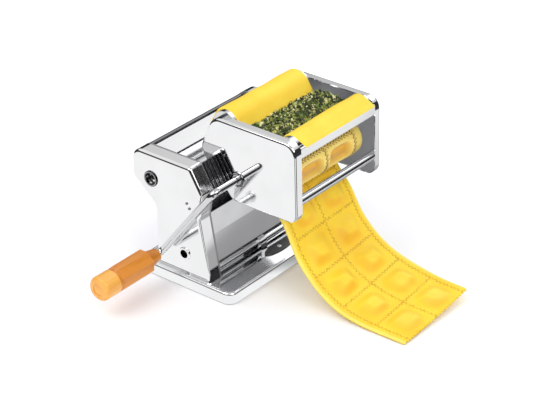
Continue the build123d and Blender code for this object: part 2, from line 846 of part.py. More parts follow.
with BuildPart() as rear_guide_bar:
    with BuildSketch(across(plate_far)):
        with Locations(from_nip(rear_bar_x, rear_bar_z)):
            Circle(rear_bar_radius)
    extrude(amount=clear_width)
    with BuildSketch(across(plate_far - bar_wall)):
        with Locations(from_nip(rear_bar_x, rear_bar_z)):
            Circle(rear_bar_radius - bar_wall)
    extrude(amount=clear_width - 2 * bar_wall, mode=Mode.SUBTRACT)

with BuildPart() as front_guide_bar:
    with BuildSketch(across(plate_far)):
        with Locations(from_nip(front_bar_x, front_bar_z)):
            Circle(front_bar_radius)
    extrude(amount=clear_width)
    with BuildSketch(across(plate_far - bar_wall)):
        with Locations(from_nip(front_bar_x, front_bar_z)):
            Circle(front_bar_radius - bar_wall)
    extrude(amount=clear_width - 2 * bar_wall, mode=Mode.SUBTRACT)

# ---------------------------------------------------------------- attachment: rails on the machine's slope
rail_end = slope_length - running_gap
groove_floor = tongue_reach + loose_gap
rail_block = [
    on_slope(0, loose_gap),
    on_slope(rail_end, loose_gap),
    on_slope(rail_end, rail_thickness),
    on_slope(0, rail_thickness),
]
rail_channel = [
    on_slope(-tongue_reach, 0),
    on_slope(slope_length, 0),
    on_slope(slope_length, groove_floor),
    on_slope(-tongue_reach, groove_floor),
]
rib_cut = [
    on_slope(-tongue_reach, rail_thickness - rail_groove),
    on_slope(slope_length, rail_thickness - rail_groove),
    on_slope(slope_length, rail_thickness + rail_groove),
    on_slope(-tongue_reach, rail_thickness + rail_groove),
]
near_rail_end = -frame_outer - rail_overlap
near_rail_step = (near_cap_face - near_rail_end) / (2 * rail_ribs + 1)

with BuildPart() as near_rail:
    with BuildSketch(across(near_cap_face)):
        Polygon(*rail_block, align=None)
    extrude(amount=near_cap_face - near_rail_end)
    with BuildSketch(across(loose_gap - frame_inner)):
        Polygon(*rail_channel, align=None)
    extrude(amount=frame_thickness + 2 * loose_gap, mode=Mode.SUBTRACT)
    for number in range(rail_ribs):
        with BuildSketch(across(near_cap_face - (2 * number + 1) * near_rail_step)):
            Polygon(*rib_cut, align=None)
        extrude(amount=near_rail_step, mode=Mode.SUBTRACT)

with BuildPart() as far_rail:
    with BuildSketch(across(frame_outer + rail_overlap)):
        Polygon(*rail_block, align=None)
    extrude(amount=frame_outer + rail_overlap - far_cap_face)
    with BuildSketch(across(frame_outer + loose_gap)):
        Polygon(*rail_channel, align=None)
    extrude(amount=frame_outer + loose_gap - far_cap_face, mode=Mode.SUBTRACT)

# ---------------------------------------------------------------- mould rollers, shafts and gears
ridge_step = 360 / mould_rows
nip_offset = mould_tilt + 180 - mould_ridge
rear_ridge = mould_tilt + nip_offset


def pocket_cutter(turn, column):
    """Rounded block that presses one pocket into a mould roller about the Y axis."""
    middle = clear_middle + (column - (mould_columns - 1) / 2) * mould_pitch
    with BuildPart() as cutter:
        Box(2 * pocket_depth, mould_pitch - ridge_width, pocket_length)
        fillet(cutter.faces().sort_by(Axis.X)[0].edges(), pocket_round)
    away = Location((mould_radius, middle, 0))
    return cutter.part.moved(away).rotate(Axis.Y, -turn)


def press_pockets(centre, ridge):
    """Cut every pocket of a mould roller out of the part being built."""
    for row in range(mould_rows):
        for column in range(mould_columns):
            cutter = pocket_cutter(ridge + (row + 0.5) * ridge_step, column)
            add(cutter.moved(Location((centre[0], 0, centre[1]))), mode=Mode.SUBTRACT)


with BuildPart() as rear_mould_roller:
    with BuildSketch(across(plate_far - mould_end_gap)):
        with Locations(rear_mould):
            Circle(mould_radius)
    extrude(amount=mould_length)
    fillet(rear_mould_roller.edges().filter_by(GeomType.CIRCLE), mould_end_round)
    press_pockets(rear_mould, rear_ridge)
    with BuildSketch(across(plate_far)):
        with Locations(rear_mould):
            Circle(drive_shaft_radius + seat_gap)
    extrude(amount=clear_width, mode=Mode.SUBTRACT)

with BuildPart() as front_mould_roller:
    with BuildSketch(across(plate_far - mould_end_gap)):
        with Locations(front_mould):
            Circle(mould_radius)
    extrude(amount=mould_length)
    fillet(front_mould_roller.edges().filter_by(GeomType.CIRCLE), mould_end_round)
    press_pockets(front_mould, mould_ridge)
    with BuildSketch(across(plate_far)):
        with Locations(front_mould):
            Circle(drive_shaft_radius + seat_gap)
    extrude(amount=clear_width, mode=Mode.SUBTRACT)

mould_gear_start = plate_far + plate_thickness + loose_gap
mould_shaft_end = mould_gear_start + mould_gear_width + loose_gap
drive_end = near_cap_face - bushing_height

with BuildPart() as rear_mould_shaft:
    with BuildSketch(across(plate_far - mould_end_gap)):
        with Locations(rear_mould):
            Circle(drive_shaft_radius)
    extrude(amount=plate_far - mould_end_gap - drive_end)
    with BuildSketch(across(mould_shaft_end)):
        with Locations(rear_mould):
            Circle(mould_shaft_radius)
    extrude(amount=mould_shaft_end - plate_far + mould_end_gap)
    with BuildSketch(across(drive_end + crank_insert + loose_gap)):
        with Locations(rear_mould):
            Rectangle(crank_square + 2 * running_gap, crank_square + 2 * running_gap)
    extrude(amount=crank_insert, mode=Mode.SUBTRACT)
    with BuildSketch(across(drive_end + crank_insert - crank_square_length + loose_gap)):
        with Locations(rear_mould):
            Circle(crank_radius + running_gap)
    extrude(amount=crank_insert - crank_square_length + loose_gap, mode=Mode.SUBTRACT)

with BuildPart() as front_mould_shaft:
    with BuildSketch(across(plate_far - mould_end_gap)):
        with Locations(front_mould):
            Circle(drive_shaft_radius)
    extrude(amount=mould_length)
    with BuildSketch(across(mould_shaft_end)):
        with Locations(front_mould):
            Circle(mould_shaft_radius)
    extrude(amount=mould_shaft_end - plate_near + plate_thickness)

gear_radius = half_centres
with BuildPart() as rear_mould_gear:
    with BuildSketch(across(mould_gear_start + mould_gear_width)):
        with Locations(rear_mould):
            add(gear_face(gear_radius, mould_tilt))
            Circle(mould_shaft_radius + seat_gap, mode=Mode.SUBTRACT)
    extrude(amount=mould_gear_width)

with BuildPart() as front_mould_gear:
    with BuildSketch(across(mould_gear_start + mould_gear_width)):
        with Locations(front_mould):
            add(gear_face(gear_radius, mould_tilt + 180 / gear_teeth))
            Circle(mould_shaft_radius + seat_gap, mode=Mode.SUBTRACT)
    extrude(amount=mould_gear_width)

# ---------------------------------------------------------------- crank and its handle
crank_tip = drive_end + crank_insert
square_end = crank_tip - crank_square_length
handle_x = rear_mould[0] + crank_arm_x
handle_z = rear_mould[1] + crank_arm_z
neck_start = -crank_plane - handle_start
grip_start = neck_start - neck_length
collar_start = grip_start - grip_length
end_cap_start = collar_start - collar_length
rod_end = collar_start + retainer_room
handle_bore = crank_radius + running_gap

with BuildPart() as crank_rod:
    with BuildLine() as crank_path:
        FilletPolyline(
            (rear_mould[0], square_end, rear_mould[1]),
            (rear_mould[0], -crank_plane, rear_mould[1]),
            (handle_x, -crank_plane, handle_z),
            (handle_x, rod_end, handle_z),
            radius=crank_bend,
        )
    with BuildSketch(across(square_end)):
        with Locations(rear_mould):
            Circle(crank_radius)
    sweep()
    with BuildSketch(across(crank_tip)):
        with Locations(rear_mould):
            Rectangle(crank_square, crank_square)
    extrude(amount=crank_square_length)
    with BuildSketch(across(rod_end + retainer_radius)):
        with Locations((handle_x, handle_z)):
            Circle(stud_radius / 2 + seat_gap)
    extrude(amount=retainer_radius, mode=Mode.SUBTRACT)

with BuildPart() as handle_retainer:
    with BuildSketch(across(rod_end + retainer_radius)):
        with Locations((handle_x, handle_z)):
            Circle(stud_radius / 2)
    extrude(amount=retainer_radius)
    with BuildSketch(across(rod_end)):
        with Locations((handle_x, handle_z)):
            Circle(retainer_radius)
    extrude(amount=retainer_height)
    fillet(handle_retainer.faces().sort_by(Axis.Y)[0].edges(), retainer_height / 3)

with BuildPart() as handle_grip:
    with BuildSketch(across(neck_start)):
        with Locations((handle_x, handle_z)):
            Circle(neck_small_radius)
    with BuildSketch(across(grip_start)):
        with Locations((handle_x, handle_z)):
            Circle(neck_large_radius)
    loft()
    with BuildSketch(across(grip_start)):
        with Locations((handle_x, handle_z)):
            RegularPolygon(grip_across / 2, grip_facets, major_radius=False, rotation=180 / grip_facets)
    extrude(amount=grip_length)
    chamfer(handle_grip.faces().sort_by(Axis.Y)[0].edges(), grip_round)
    with BuildSketch(across(collar_start)):
        with Locations((handle_x, handle_z)):
            Circle(collar_radius)
    extrude(amount=collar_length)
    with BuildSketch(across(neck_start)):
        with Locations((handle_x, handle_z)):
            Circle(handle_bore)
    extrude(amount=neck_start - end_cap_start, mode=Mode.SUBTRACT)
    with BuildSketch(across(rod_end + running_gap)):
        with Locations((handle_x, handle_z)):
            Circle(retainer_radius + loose_gap)
    extrude(amount=rod_end + running_gap - end_cap_start, mode=Mode.SUBTRACT)

with BuildPart() as handle_end_cap:
    with BuildSketch(across(end_cap_start)):
        with Locations((handle_x, handle_z)):
            Circle(end_cap_radius)
    extrude(amount=end_cap_length)
    fillet(handle_end_cap.faces().sort_by(Axis.Y)[0].edges(), end_cap_round)
    with BuildSketch(across(end_cap_start - end_cap_length + end_dimple_depth)):
        with Locations((handle_x, handle_z)):
            Circle(end_dimple_radius)
    extrude(amount=end_dimple_depth, mode=Mode.SUBTRACT)

# ---------------------------------------------------------------- dough sheets, filling, ravioli strip
half_sheet = dough_thickness / 2 + loose_gap / 2
sheets_meet = from_nip(-dough_nip_height * tilt_z, dough_nip_height * tilt_x)
rear_sheet_start = (sheets_meet[0] - half_sheet * tilt_x, sheets_meet[1] - half_sheet * tilt_z)
front_sheet_start = (sheets_meet[0] + half_sheet * tilt_x, sheets_meet[1] + half_sheet * tilt_z)

rear_bar_at = from_nip(rear_bar_x, rear_bar_z)
rear_wrap = rear_bar_radius + loose_gap + dough_thickness / 2
rear_touch = tangent_angle(rear_bar_at, rear_wrap, rear_sheet_start, 1)
front_bar_at = from_nip(front_bar_x, front_bar_z)
front_wrap = front_bar_radius + loose_gap + dough_thickness / 2
front_touch = tangent_angle(front_bar_at, front_wrap, front_sheet_start, -1)
front_dough_end = from_nip(
    bar_x + bar_thickness / 2 + front_dough_over,
    bar_top + front_dough_lift,
)
front_leave = tangent_angle(front_bar_at, front_wrap, front_dough_end, 1)


def draped(start, bar_at, wrap, first, last, end):
    """Section of a sheet from its start over a round bar to its end."""
    with BuildSketch() as face:
        with BuildLine():
            Line(start, on_circle(bar_at, wrap, first))
            CenterArc(bar_at, wrap, first, last - first)
            Line(on_circle(bar_at, wrap, last), end)
        trace(line_width=dough_thickness)
    return face.sketch


rear_leave_at = on_circle(rear_bar_at, rear_wrap, rear_dough_wrap)
rear_dough_end = (
    rear_leave_at[0] - rear_dough_tail * sin(radians(rear_dough_wrap)),
    rear_leave_at[1] + rear_dough_tail * cos(radians(rear_dough_wrap)),
)

with BuildPart() as rear_dough_sheet:
    with BuildSketch(across(clear_middle + dough_width / 2)):
        add(draped(rear_sheet_start, rear_bar_at, rear_wrap, rear_touch, rear_dough_wrap, rear_dough_end))
    extrude(amount=dough_width)

with BuildPart() as front_dough_sheet:
    with BuildSketch(across(clear_middle + dough_width / 2)):
        add(draped(front_sheet_start, front_bar_at, front_wrap, front_touch, front_leave, front_dough_end))
    extrude(amount=dough_width)


def between(start, bar_at, wrap, touch, height):
    """X on a sheet's straight run at a height above the nip."""
    upper = on_circle(bar_at, wrap, touch)
    share = (nip_z + height - start[1]) / (upper[1] - start[1])
    return start[0] + (upper[0] - start[0]) * share


filling_gap = dough_thickness
with BuildPart() as filling:
    with BuildSketch(across(clear_middle + filling_width / 2)):
        rear_run = (rear_sheet_start, rear_bar_at, rear_wrap, rear_touch)
        front_run = (front_sheet_start, front_bar_at, front_wrap, front_touch)
        Polygon(
            (between(*rear_run, filling_bottom) + filling_gap, nip_z + filling_bottom),
            (between(*front_run, filling_bottom) - filling_gap, nip_z + filling_bottom),
            (between(*front_run, filling_top) - filling_gap, nip_z + filling_top),
            (between(*rear_run, filling_top) + filling_gap, nip_z + filling_top),
            align=None,
        )
    extrude(amount=filling_width)

strip_points = [from_nip(strip_start * tilt_z, -strip_start * tilt_x)]
strip_points += [(nip_x + x, z) for x, z in strip_route]
with BuildPart() as ravioli_strip:
    with BuildSketch(across(clear_middle + strip_width / 2)):
        with BuildLine():
            Spline(*strip_points, tangents=[(tilt_z, -tilt_x), (1, 0)])
        trace(line_width=strip_thickness)
    extrude(amount=strip_width)

# ---------------------------------------------------------------- hand over
pieces = {
    "base_tray": base_tray,
    "base_floor": base_floor,
    "base_screws": base_screws,
    "near_side_cover": near_side_cover,
    "far_side_cover": far_side_cover,
    "crank_hole_ring": crank_hole_ring,
    "lower_hole_grommet": lower_hole_grommet,
    "cover_rivets": cover_rivets,
    "near_inner_frame": near_inner_frame,
    "far_inner_frame": far_inner_frame,
    "roller_bushes": roller_bushes,
    "front_tie_rod": front_tie_rod,
    "rear_tie_rods": rear_tie_rods,
    "tie_rod_nuts": tie_rod_nuts,
    "clamp_saddle": clamp_saddle,
    "clamp_plate": clamp_plate,
    "front_sheet": front_sheet,
    "rear_sheet": rear_sheet,
    "dough_guide": dough_guide,
    "roller_scrapers": roller_scrapers,
    "rear_smooth_roller": rear_smooth_roller,
    "front_smooth_roller": front_smooth_roller,
    "rear_smooth_gear": rear_smooth_gear,
    "front_smooth_gear": front_smooth_gear,
    "bearing_blocks": bearing_blocks,
    "knob_shaft": knob_shaft,
    "thickness_knob": thickness_knob,
    "near_cap": near_cap,
    "far_cap": far_cap,
    "near_plate": near_plate,
    "far_plate": far_plate,
    "cap_rivets": cap_rivets,
    "crank_bushing": crank_bushing,
    "mould_bushes": mould_bushes,
    "upper_front_bar": upper_front_bar,
    "lower_front_rod": lower_front_rod,
    "lower_rear_rod": lower_rear_rod,
    "rear_guide_bar": rear_guide_bar,
    "front_guide_bar": front_guide_bar,
    "near_rail": near_rail,
    "far_rail": far_rail,
    "rear_mould_roller": rear_mould_roller,
    "front_mould_roller": front_mould_roller,
    "rear_mould_shaft": rear_mould_shaft,
    "front_mould_shaft": front_mould_shaft,
    "rear_mould_gear": rear_mould_gear,
    "front_mould_gear": front_mould_gear,
    "crank_rod": crank_rod,
    "handle_retainer": handle_retainer,
    "handle_grip": handle_grip,
    "handle_end_cap": handle_end_cap,
    "rear_dough_sheet": rear_dough_sheet,
    "front_dough_sheet": front_dough_sheet,
    "filling": filling,
    "ravioli_strip": ravioli_strip,
}

os.makedirs("parts", exist_ok=True)
for name, piece in pieces.items():
    piece.part.label = name
    export_step(piece.part, f"parts/{name}.step")
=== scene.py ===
"""Looks of a hand cranked ravioli maker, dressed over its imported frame.

Every piece is in metres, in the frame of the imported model. Sizes in the classes are
millimetres, as in the model's source, and are turned into metres when a mesh is made.
"""

from __future__ import annotations

import json
import logging
import math
from dataclasses import dataclass
from enum import Enum
from typing import Any, Iterable, Sequence

import bmesh
import bpy
import numpy as np
from mathutils import Matrix, Vector, noise

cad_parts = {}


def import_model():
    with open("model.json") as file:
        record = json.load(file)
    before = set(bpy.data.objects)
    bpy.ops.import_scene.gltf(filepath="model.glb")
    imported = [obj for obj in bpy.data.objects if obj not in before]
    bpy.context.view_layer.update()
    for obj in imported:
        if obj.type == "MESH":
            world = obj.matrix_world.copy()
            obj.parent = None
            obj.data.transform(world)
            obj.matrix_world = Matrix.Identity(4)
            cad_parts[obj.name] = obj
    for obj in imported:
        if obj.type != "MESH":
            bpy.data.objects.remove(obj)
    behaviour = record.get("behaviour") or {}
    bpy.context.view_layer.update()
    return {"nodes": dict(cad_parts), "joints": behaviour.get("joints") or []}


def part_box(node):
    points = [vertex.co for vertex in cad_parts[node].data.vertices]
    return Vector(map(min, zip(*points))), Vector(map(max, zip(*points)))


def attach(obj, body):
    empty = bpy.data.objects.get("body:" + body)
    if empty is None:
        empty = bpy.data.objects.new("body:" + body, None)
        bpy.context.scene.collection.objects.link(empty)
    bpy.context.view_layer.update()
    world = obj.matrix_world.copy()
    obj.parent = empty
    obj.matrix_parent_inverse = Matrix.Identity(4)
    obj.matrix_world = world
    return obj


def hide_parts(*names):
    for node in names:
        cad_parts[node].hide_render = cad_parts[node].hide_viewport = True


MM = 0.001
FAR = 9.0  # distance that stands for no edge near by
RAIL_RIBS = 7
# the dark band along the guide's lip is a painted reflection
LIP_DEPTH = 5.6  # depth of the guide's dark lip
Colour = tuple[float, float, float]
Point = tuple[float, float]

log = logging.getLogger("ravioli_maker")


# ------------------------------------------------------------------ shader expressions
class Wire:
    """One socket of a shader, on which Python's operators add Math nodes."""

    def __init__(self, shader: "Shader", socket: bpy.types.NodeSocket) -> None:
        self.shader = shader
        self.socket = socket

    def _maths(self, operation: str, *values: Any) -> "Wire":
        """Adds one Math node of that operation over these values."""
        inputs = dict(enumerate(values))
        return self.shader.node("ShaderNodeMath", {"operation": operation}, inputs)

    def __add__(self, other: Any) -> "Wire":
        """Sum."""
        return self._maths("ADD", self, other)

    __radd__ = __add__

    def __sub__(self, other: Any) -> "Wire":
        """Difference."""
        return self._maths("SUBTRACT", self, other)

    def __rsub__(self, other: Any) -> "Wire":
        """Difference, reflected."""
        return self._maths("SUBTRACT", other, self)

    def __mul__(self, other: Any) -> "Wire":
        """Product."""
        return self._maths("MULTIPLY", self, other)

    __rmul__ = __mul__

    def __truediv__(self, other: Any) -> "Wire":
        """Quotient."""
        return self._maths("DIVIDE", self, other)

    def __gt__(self, other: Any) -> "Wire":
        """One where this is the greater, else zero."""
        return self._maths("GREATER_THAN", self, other)

    def __lt__(self, other: Any) -> "Wire":
        """One where this is the lesser, else zero."""
        return self._maths("LESS_THAN", self, other)

    def root(self) -> "Wire":
        """Square root."""
        return self._maths("SQRT", self)

    def size(self) -> "Wire":
        """Value without its sign."""
        return self._maths("ABSOLUTE", self)

    def bearing(self, across: "Wire") -> "Wire":
        """Angle of the point (across, this) about the origin, as a share of a turn from -X."""
        return self._maths("ARCTAN2", self, across) / (2 * math.pi) + 0.5

    def step(self, low: float, high: float, first: float = 0.0, last: float = 1.0) -> "Wire":
        """Smooth step.

        Args:
            low: value at which the step starts.
            high: value at which it ends.
            first: result below low.
            last: result above high.

        Returns:
            The stepped value.
        """
        settings = {"interpolation_type": "SMOOTHSTEP"}
        inputs = {"Value": self, "From Min": low, "From Max": high, "To Min": first, "To Max": last}
        return self.shader.node("ShaderNodeMapRange", settings, inputs)

    def wave(self, period: float) -> "Wire":
        """Triangle wave of this period, from 0 to 1."""
        return self._maths("PINGPONG", self, period / 2) / (period / 2)


class Shader:
    """Node tree of one material or world, built by one general node method."""

    def __init__(self, owner: Any) -> None:
        owner.use_nodes = True
        self.tree = owner.node_tree
        self.tree.nodes.clear()

    def node(
        self,
        kind: str,
        settings: dict[str, Any] | None = None,
        inputs: dict[str | int, Any] | None = None,
        output: str | int = 0,
    ) -> Wire:
        """Adds a node.

        Args:
            kind: the node's type.
            settings: its properties, which are set first; "stops" fills a colour ramp.
            inputs: values or wires by socket name or number.
            output: name or number of the socket that is returned.

        Returns:
            The chosen output.
        """
        made = self.tree.nodes.new(kind)
        for name, value in (settings or {}).items():
            if name == "stops":
                self._fill_ramp(made.color_ramp, value)
            else:
                setattr(made, name, value)
        for name, value in (inputs or {}).items():
            if isinstance(value, Wire):
                self.tree.links.new(value.socket, made.inputs[name])
            elif isinstance(value, tuple) and len(value) == 3 and made.inputs[name].type == "RGBA":
                made.inputs[name].default_value = (*value, 1.0)
            else:
                made.inputs[name].default_value = value
        return Wire(self, made.outputs[output] if made.outputs else None)

    @staticmethod
    def _fill_ramp(ramp: bpy.types.ColorRamp, stops: Sequence[tuple[float, float]]) -> None:
        """Sets a ramp's stops, each a place and a grey level."""
        while len(ramp.elements) < len(stops):
            ramp.elements.new(1.0)
        for element, (place, level) in zip(ramp.elements, stops):
            element.position = place
            element.color = (level, level, level, 1.0)

    def place(self) -> Wire:
        """Object coordinates."""
        return self.node("ShaderNodeTexCoord", output="Object")

    def axis(self, name: str) -> Wire:
        """One of the object coordinates X, Y or Z, in metres."""
        return self.node("ShaderNodeSeparateXYZ", inputs={"Vector": self.place()}, output=name)

    def grain(
        self, scale: float, detail: float = 3.0, stretch: tuple[float, float, float] = (1, 1, 1)
    ) -> Wire:
        """Noise on object coordinates.

        Args:
            scale: features per metre.
            detail: octaves.
            stretch: how many times finer the noise is along each axis.

        Returns:
            Noise from 0 to 1.
        """
        mapped = self.node("ShaderNodeMapping", inputs={"Vector": self.place(), "Scale": stretch})
        inputs = {"Vector": mapped, "Scale": scale, "Detail": detail, "Roughness": 0.55}
        return self.node("ShaderNodeTexNoise", inputs=inputs)

    def attribute(self, name: str) -> Wire:
        """A number stored on the mesh."""
        return self.node("ShaderNodeAttribute", {"attribute_name": name}, output="Fac")

    def blend(self, share: Any, first: Any, second: Any) -> Wire:
        """Colour between first and second."""
        inputs = {0: share, 6: first, 7: second}
        return self.node("ShaderNodeMix", {"data_type": "RGBA"}, inputs, output=2)

    def bump(self, height: Wire, depth: float, strength: float = 1.0) -> Wire:
        """Normal from a height.

        Args:
            height: height from 0 to 1.
            depth: what 1 stands for, in metres.
            strength: share of the effect.

        Returns:
            The bent normal.
        """
        inputs = {"Strength": strength, "Distance": depth, "Height": height}
        return self.node("ShaderNodeBump", inputs=inputs)

    def surface(self, **inputs: Any) -> None:
        """Principled surface, joined to the output; underscores stand for spaces."""
        named = {name.replace("_", " "): value for name, value in inputs.items()}
        skin = self.node("ShaderNodeBsdfPrincipled", inputs=named)
        self.finish(skin)

    def finish(self, skin: Wire, kind: str = "ShaderNodeOutputMaterial") -> None:
        """Joins a closure to the tree's output."""
        self.node(kind, inputs={"Surface": skin})


# ------------------------------------------------------------------ finishes
class Slot(Enum):
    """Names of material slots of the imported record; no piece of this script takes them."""

    CREAM = "cream_plastic"
    DOUGH = "dough"
    HERBS = "herb_filling"
    RAVIOLI = "ravioli_dough"


def painted(name: str, finish: Any) -> bpy.types.Material:
    """Builds the material of a finish.

    Args:
        name: the material's name.
        finish: one of the finishes below.

    Returns:
        The material.
    """
    made = bpy.data.materials.new(name)
    finish.paint(Shader(made))
    return made


@dataclass(frozen=True)
class PolishedSheet:
    """Mirror polished stainless sheet with faint buffing marks and smears."""

    colour: Colour = (0.90, 0.905, 0.91)
    roughness: float = 0.04
    smear: float = 0.04
    buff: float = 0.0000012

    def shade(self, shader: Shader, body: Any) -> Any:
        """Colour of the sheet, which kinds of sheet change."""
        return body

    def paint(self, shader: Shader) -> None:
        """Adds the finish's nodes to an empty shader."""
        smear = shader.grain(28.0, 2.0)
        buffing = shader.grain(90.0, 4.0, (1.0, 1.0, 14.0))
        rough = self.roughness + smear.step(0.45, 0.8) * self.smear + buffing * 0.03
        tint = shader.blend(smear.step(0.3, 0.8), self.colour, tuple(0.95 * c for c in self.colour))
        shader.surface(
            Base_Color=self.shade(shader, tint),
            Metallic=1.0,
            Roughness=rough,
            Normal=shader.bump(buffing, self.buff, 0.6),
        )


@dataclass(frozen=True)
class LippedSheet(PolishedSheet):
    """Polished sheet with a painted dark reflection along its rolled lip."""

    # colour of the painted reflection on the lip
    dark: Colour = (0.14, 0.14, 0.145)
    lip: float = 0.0

    def shade(self, shader: Shader, body: Any) -> Any:
        """Paints a dark reflection on what lies behind the lip's edge."""
        return shader.blend(shader.axis("X") < self.lip * MM, body, self.dark)


@dataclass(frozen=True)
class RingedCollar(PolishedSheet):
    """Polished collar round a hole, with painted dark rings that stand for the reflections in its turned
    grooves.
    """

    # colour of the painted reflections in the grooves
    dark: Colour = (0.03, 0.03, 0.032)
    centre: Point = (0.0, 0.0)
    grooves: tuple[float, ...] = ()
    groove: float = 0.35

    def shade(self, shader: Shader, body: Any) -> Any:
        """Paints dark reflections at the grooves, which are rings about the hole's axis."""
        x = shader.axis("X") - self.centre[0] * MM
        z = shader.axis("Z") - self.centre[1] * MM
        radius = (x * x + z * z).root()
        for place in self.grooves:
            inside = (radius - place * MM).size() < self.groove * MM
            body = shader.blend(inside, body, self.dark)
        return body


@dataclass(frozen=True)
class TurnedSteel:
    """Ground bar, shaft or gear, with fine rings from turning."""

    colour: Colour = (0.68, 0.69, 0.70)
    roughness: float = 0.16
    ring: float = 0.0006
    along: str = "Y"

    def paint(self, shader: Shader) -> None:
        """Adds the finish's nodes to an empty shader."""
        rings = shader.axis(self.along).wave(self.ring)
        cloud = shader.grain(60.0, 3.0)
        shader.surface(
            Base_Color=shader.blend(cloud, self.colour, tuple(0.86 * c for c in self.colour)),
            Metallic=1.0,
            Roughness=self.roughness + cloud * 0.08 + rings * 0.04,
            Normal=shader.bump(rings, 0.000006, 0.5),
        )


@dataclass(frozen=True)
class BrushedPlate:
    """Steel plate brushed along one direction."""

    colour: Colour = (0.50, 0.505, 0.515)
    roughness: float = 0.28
    stretch: tuple[float, float, float] = (1.0, 1.0, 30.0)

    def paint(self, shader: Shader) -> None:
        """Adds the finish's nodes to an empty shader."""
        lines = shader.grain(70.0, 5.0, self.stretch)
        cloud = shader.grain(25.0, 2.0)
        shader.surface(
            Base_Color=shader.blend(lines, self.colour, tuple(0.82 * c for c in self.colour)),
            Metallic=1.0,
            Roughness=self.roughness + lines * 0.12 + cloud * 0.06,
            Normal=shader.bump(lines, 0.00001, 0.6),
        )


@dataclass(frozen=True)
class MouldedPlastic:
    """Moulded plastic with a fine spark-eroded grain."""

    colour: Colour
    roughness: float = 0.42
    pebble: float = 1400.0

    def paint(self, shader: Shader) -> None:
        """Adds the finish's nodes to an empty shader."""
        pebble = shader.grain(self.pebble, 2.0)
        worn = shader.grain(45.0, 3.0).step(0.45, 0.75)
        paler = tuple(min(1.0, 1.25 * c + 0.01) for c in self.colour)
        shader.surface(
            Base_Color=shader.blend(worn, self.colour, paler),
            Roughness=self.roughness + worn * 0.1,
            Normal=shader.bump(pebble, 0.00004, 0.5),
        )


@dataclass(frozen=True)
class RibbedRail:
    """Black guide rail whose raised ribs are bright steel."""

    first: float
    pitch: float
    dark: Colour = (0.012, 0.012, 0.014)
    bright: Colour = (0.62, 0.625, 0.63)

    def paint(self, shader: Shader) -> None:
        """Adds the finish's nodes to an empty shader."""
        across = (shader.axis("Y") - self.first * MM).wave(2 * self.pitch * MM)
        rib = across.step(0.16, 0.24, 1.0, 0.0)
        cloud = shader.grain(120.0, 3.0)
        shader.surface(
            Base_Color=shader.blend(rib, self.dark, self.bright),
            Metallic=rib,
            Roughness=0.16 + cloud * 0.1,
            Normal=shader.bump(cloud, 0.00002, 0.4),
        )


@dataclass(frozen=True)
class Lacquer:
    """Stained and lacquered handle with streaks along its length."""

    colour: Colour
    streak: Colour
    gloss: float = 0.3

    def paint(self, shader: Shader) -> None:
        """Adds the finish's nodes to an empty shader."""
        streaks = shader.grain(160.0, 4.0, (1.0, 0.06, 1.0))
        cloud = shader.grain(35.0, 2.0)
        share = streaks.step(0.38, 0.68) * 0.7 + cloud * 0.25
        shader.surface(
            Base_Color=shader.blend(share, self.colour, self.streak),
            Roughness=self.gloss + cloud * 0.12,
            Coat_Weight=0.45 - cloud * 0.15,
            Normal=shader.bump(streaks, 0.00005, 0.35),
        )


@dataclass(frozen=True)
class CreamMoulding:
    """Glossy cream moulding, with painted shade in its pockets and a painted amber shadow beside its cutting
    edges.
    """

    colour: Colour = (0.98, 0.76, 0.19)
    # colour of the painted shade in the pockets
    hollow: Colour = (0.82, 0.40, 0.02)
    # colour of the painted shadow beside the cutting edges
    seam: Colour = (0.26, 0.11, 0.004)

    def paint(self, shader: Shader) -> None:
        """Adds the finish's nodes to an empty shader."""
        cloud = shader.grain(55.0, 3.0)
        # the pockets are painted darker orange as shade, and the seam number paints a shadow beside the
        # blades
        pocket_shade = shader.attribute("hollow")
        body = shader.blend(pocket_shade * 0.8 + cloud * 0.15, self.colour, self.hollow)
        shader.surface(
            Base_Color=shader.blend(shader.attribute("seam"), body, self.seam),
            Roughness=0.3 + cloud * 0.14,
            Coat_Weight=0.25 + cloud * 0.1,
            Normal=shader.bump(shader.grain(600.0, 3.0), 0.00006, 0.3),
        )


@dataclass(frozen=True)
class EggDough:
    """Rolled egg dough: soft, slightly mottled and speckled, with painted shade and a painted highlight where
    the mesh stores them.
    """

    colour: Colour
    shade: Colour
    seam: Colour = (0.50, 0.25, 0.003)
    # colour of the painted highlight on the pillow tops, and of the paler single-layer margin
    pale: Colour = (1.0, 0.86, 0.24)
    roughness: float = 0.5

    def paint(self, shader: Shader) -> None:
        """Adds the finish's nodes to an empty shader."""
        cloud = shader.grain(30.0, 4.0)
        speckle = shader.grain(700.0, 3.0)
        body = shader.blend(cloud.step(0.35, 0.7) * 0.5, self.colour, self.shade)
        # painted shade: darker on the pillows' lower and near flanks and in the rims round them
        body = shader.blend(shader.attribute("hollow") * 0.9, body, self.shade)
        # painted highlight on the pillow tops, and the paler single-layer margin
        body = shader.blend(shader.attribute("crown") * 0.7, body, self.pale)
        body = shader.blend(shader.attribute("seam"), body, self.seam)
        shader.surface(
            Base_Color=body,
            Roughness=self.roughness + cloud * 0.15,
            Coat_Weight=0.08 + speckle * 0.06,
            Normal=shader.bump(speckle + cloud * 0.8, 0.00018, 0.35),
        )


@dataclass(frozen=True)
class HerbMix:
    """Chopped leaves and crumbs, coloured by a number stored on each flake."""

    stops: tuple[tuple[float, Colour], ...]
    roughness: float = 0.45

    def paint(self, shader: Shader) -> None:
        """Adds the finish's nodes to an empty shader."""
        kind = shader.attribute("kind")
        body: Any = self.stops[0][1]
        for place, colour in self.stops[1:]:
            body = shader.blend(kind > place, body, colour)
        vein = shader.grain(900.0, 3.0)
        body = shader.blend(vein * 0.25, body, (0.10, 0.13, 0.02))
        shader.surface(
            Base_Color=body,
            Roughness=self.roughness + vein * 0.2,
            Normal=shader.bump(vein, 0.0002, 0.6),
        )


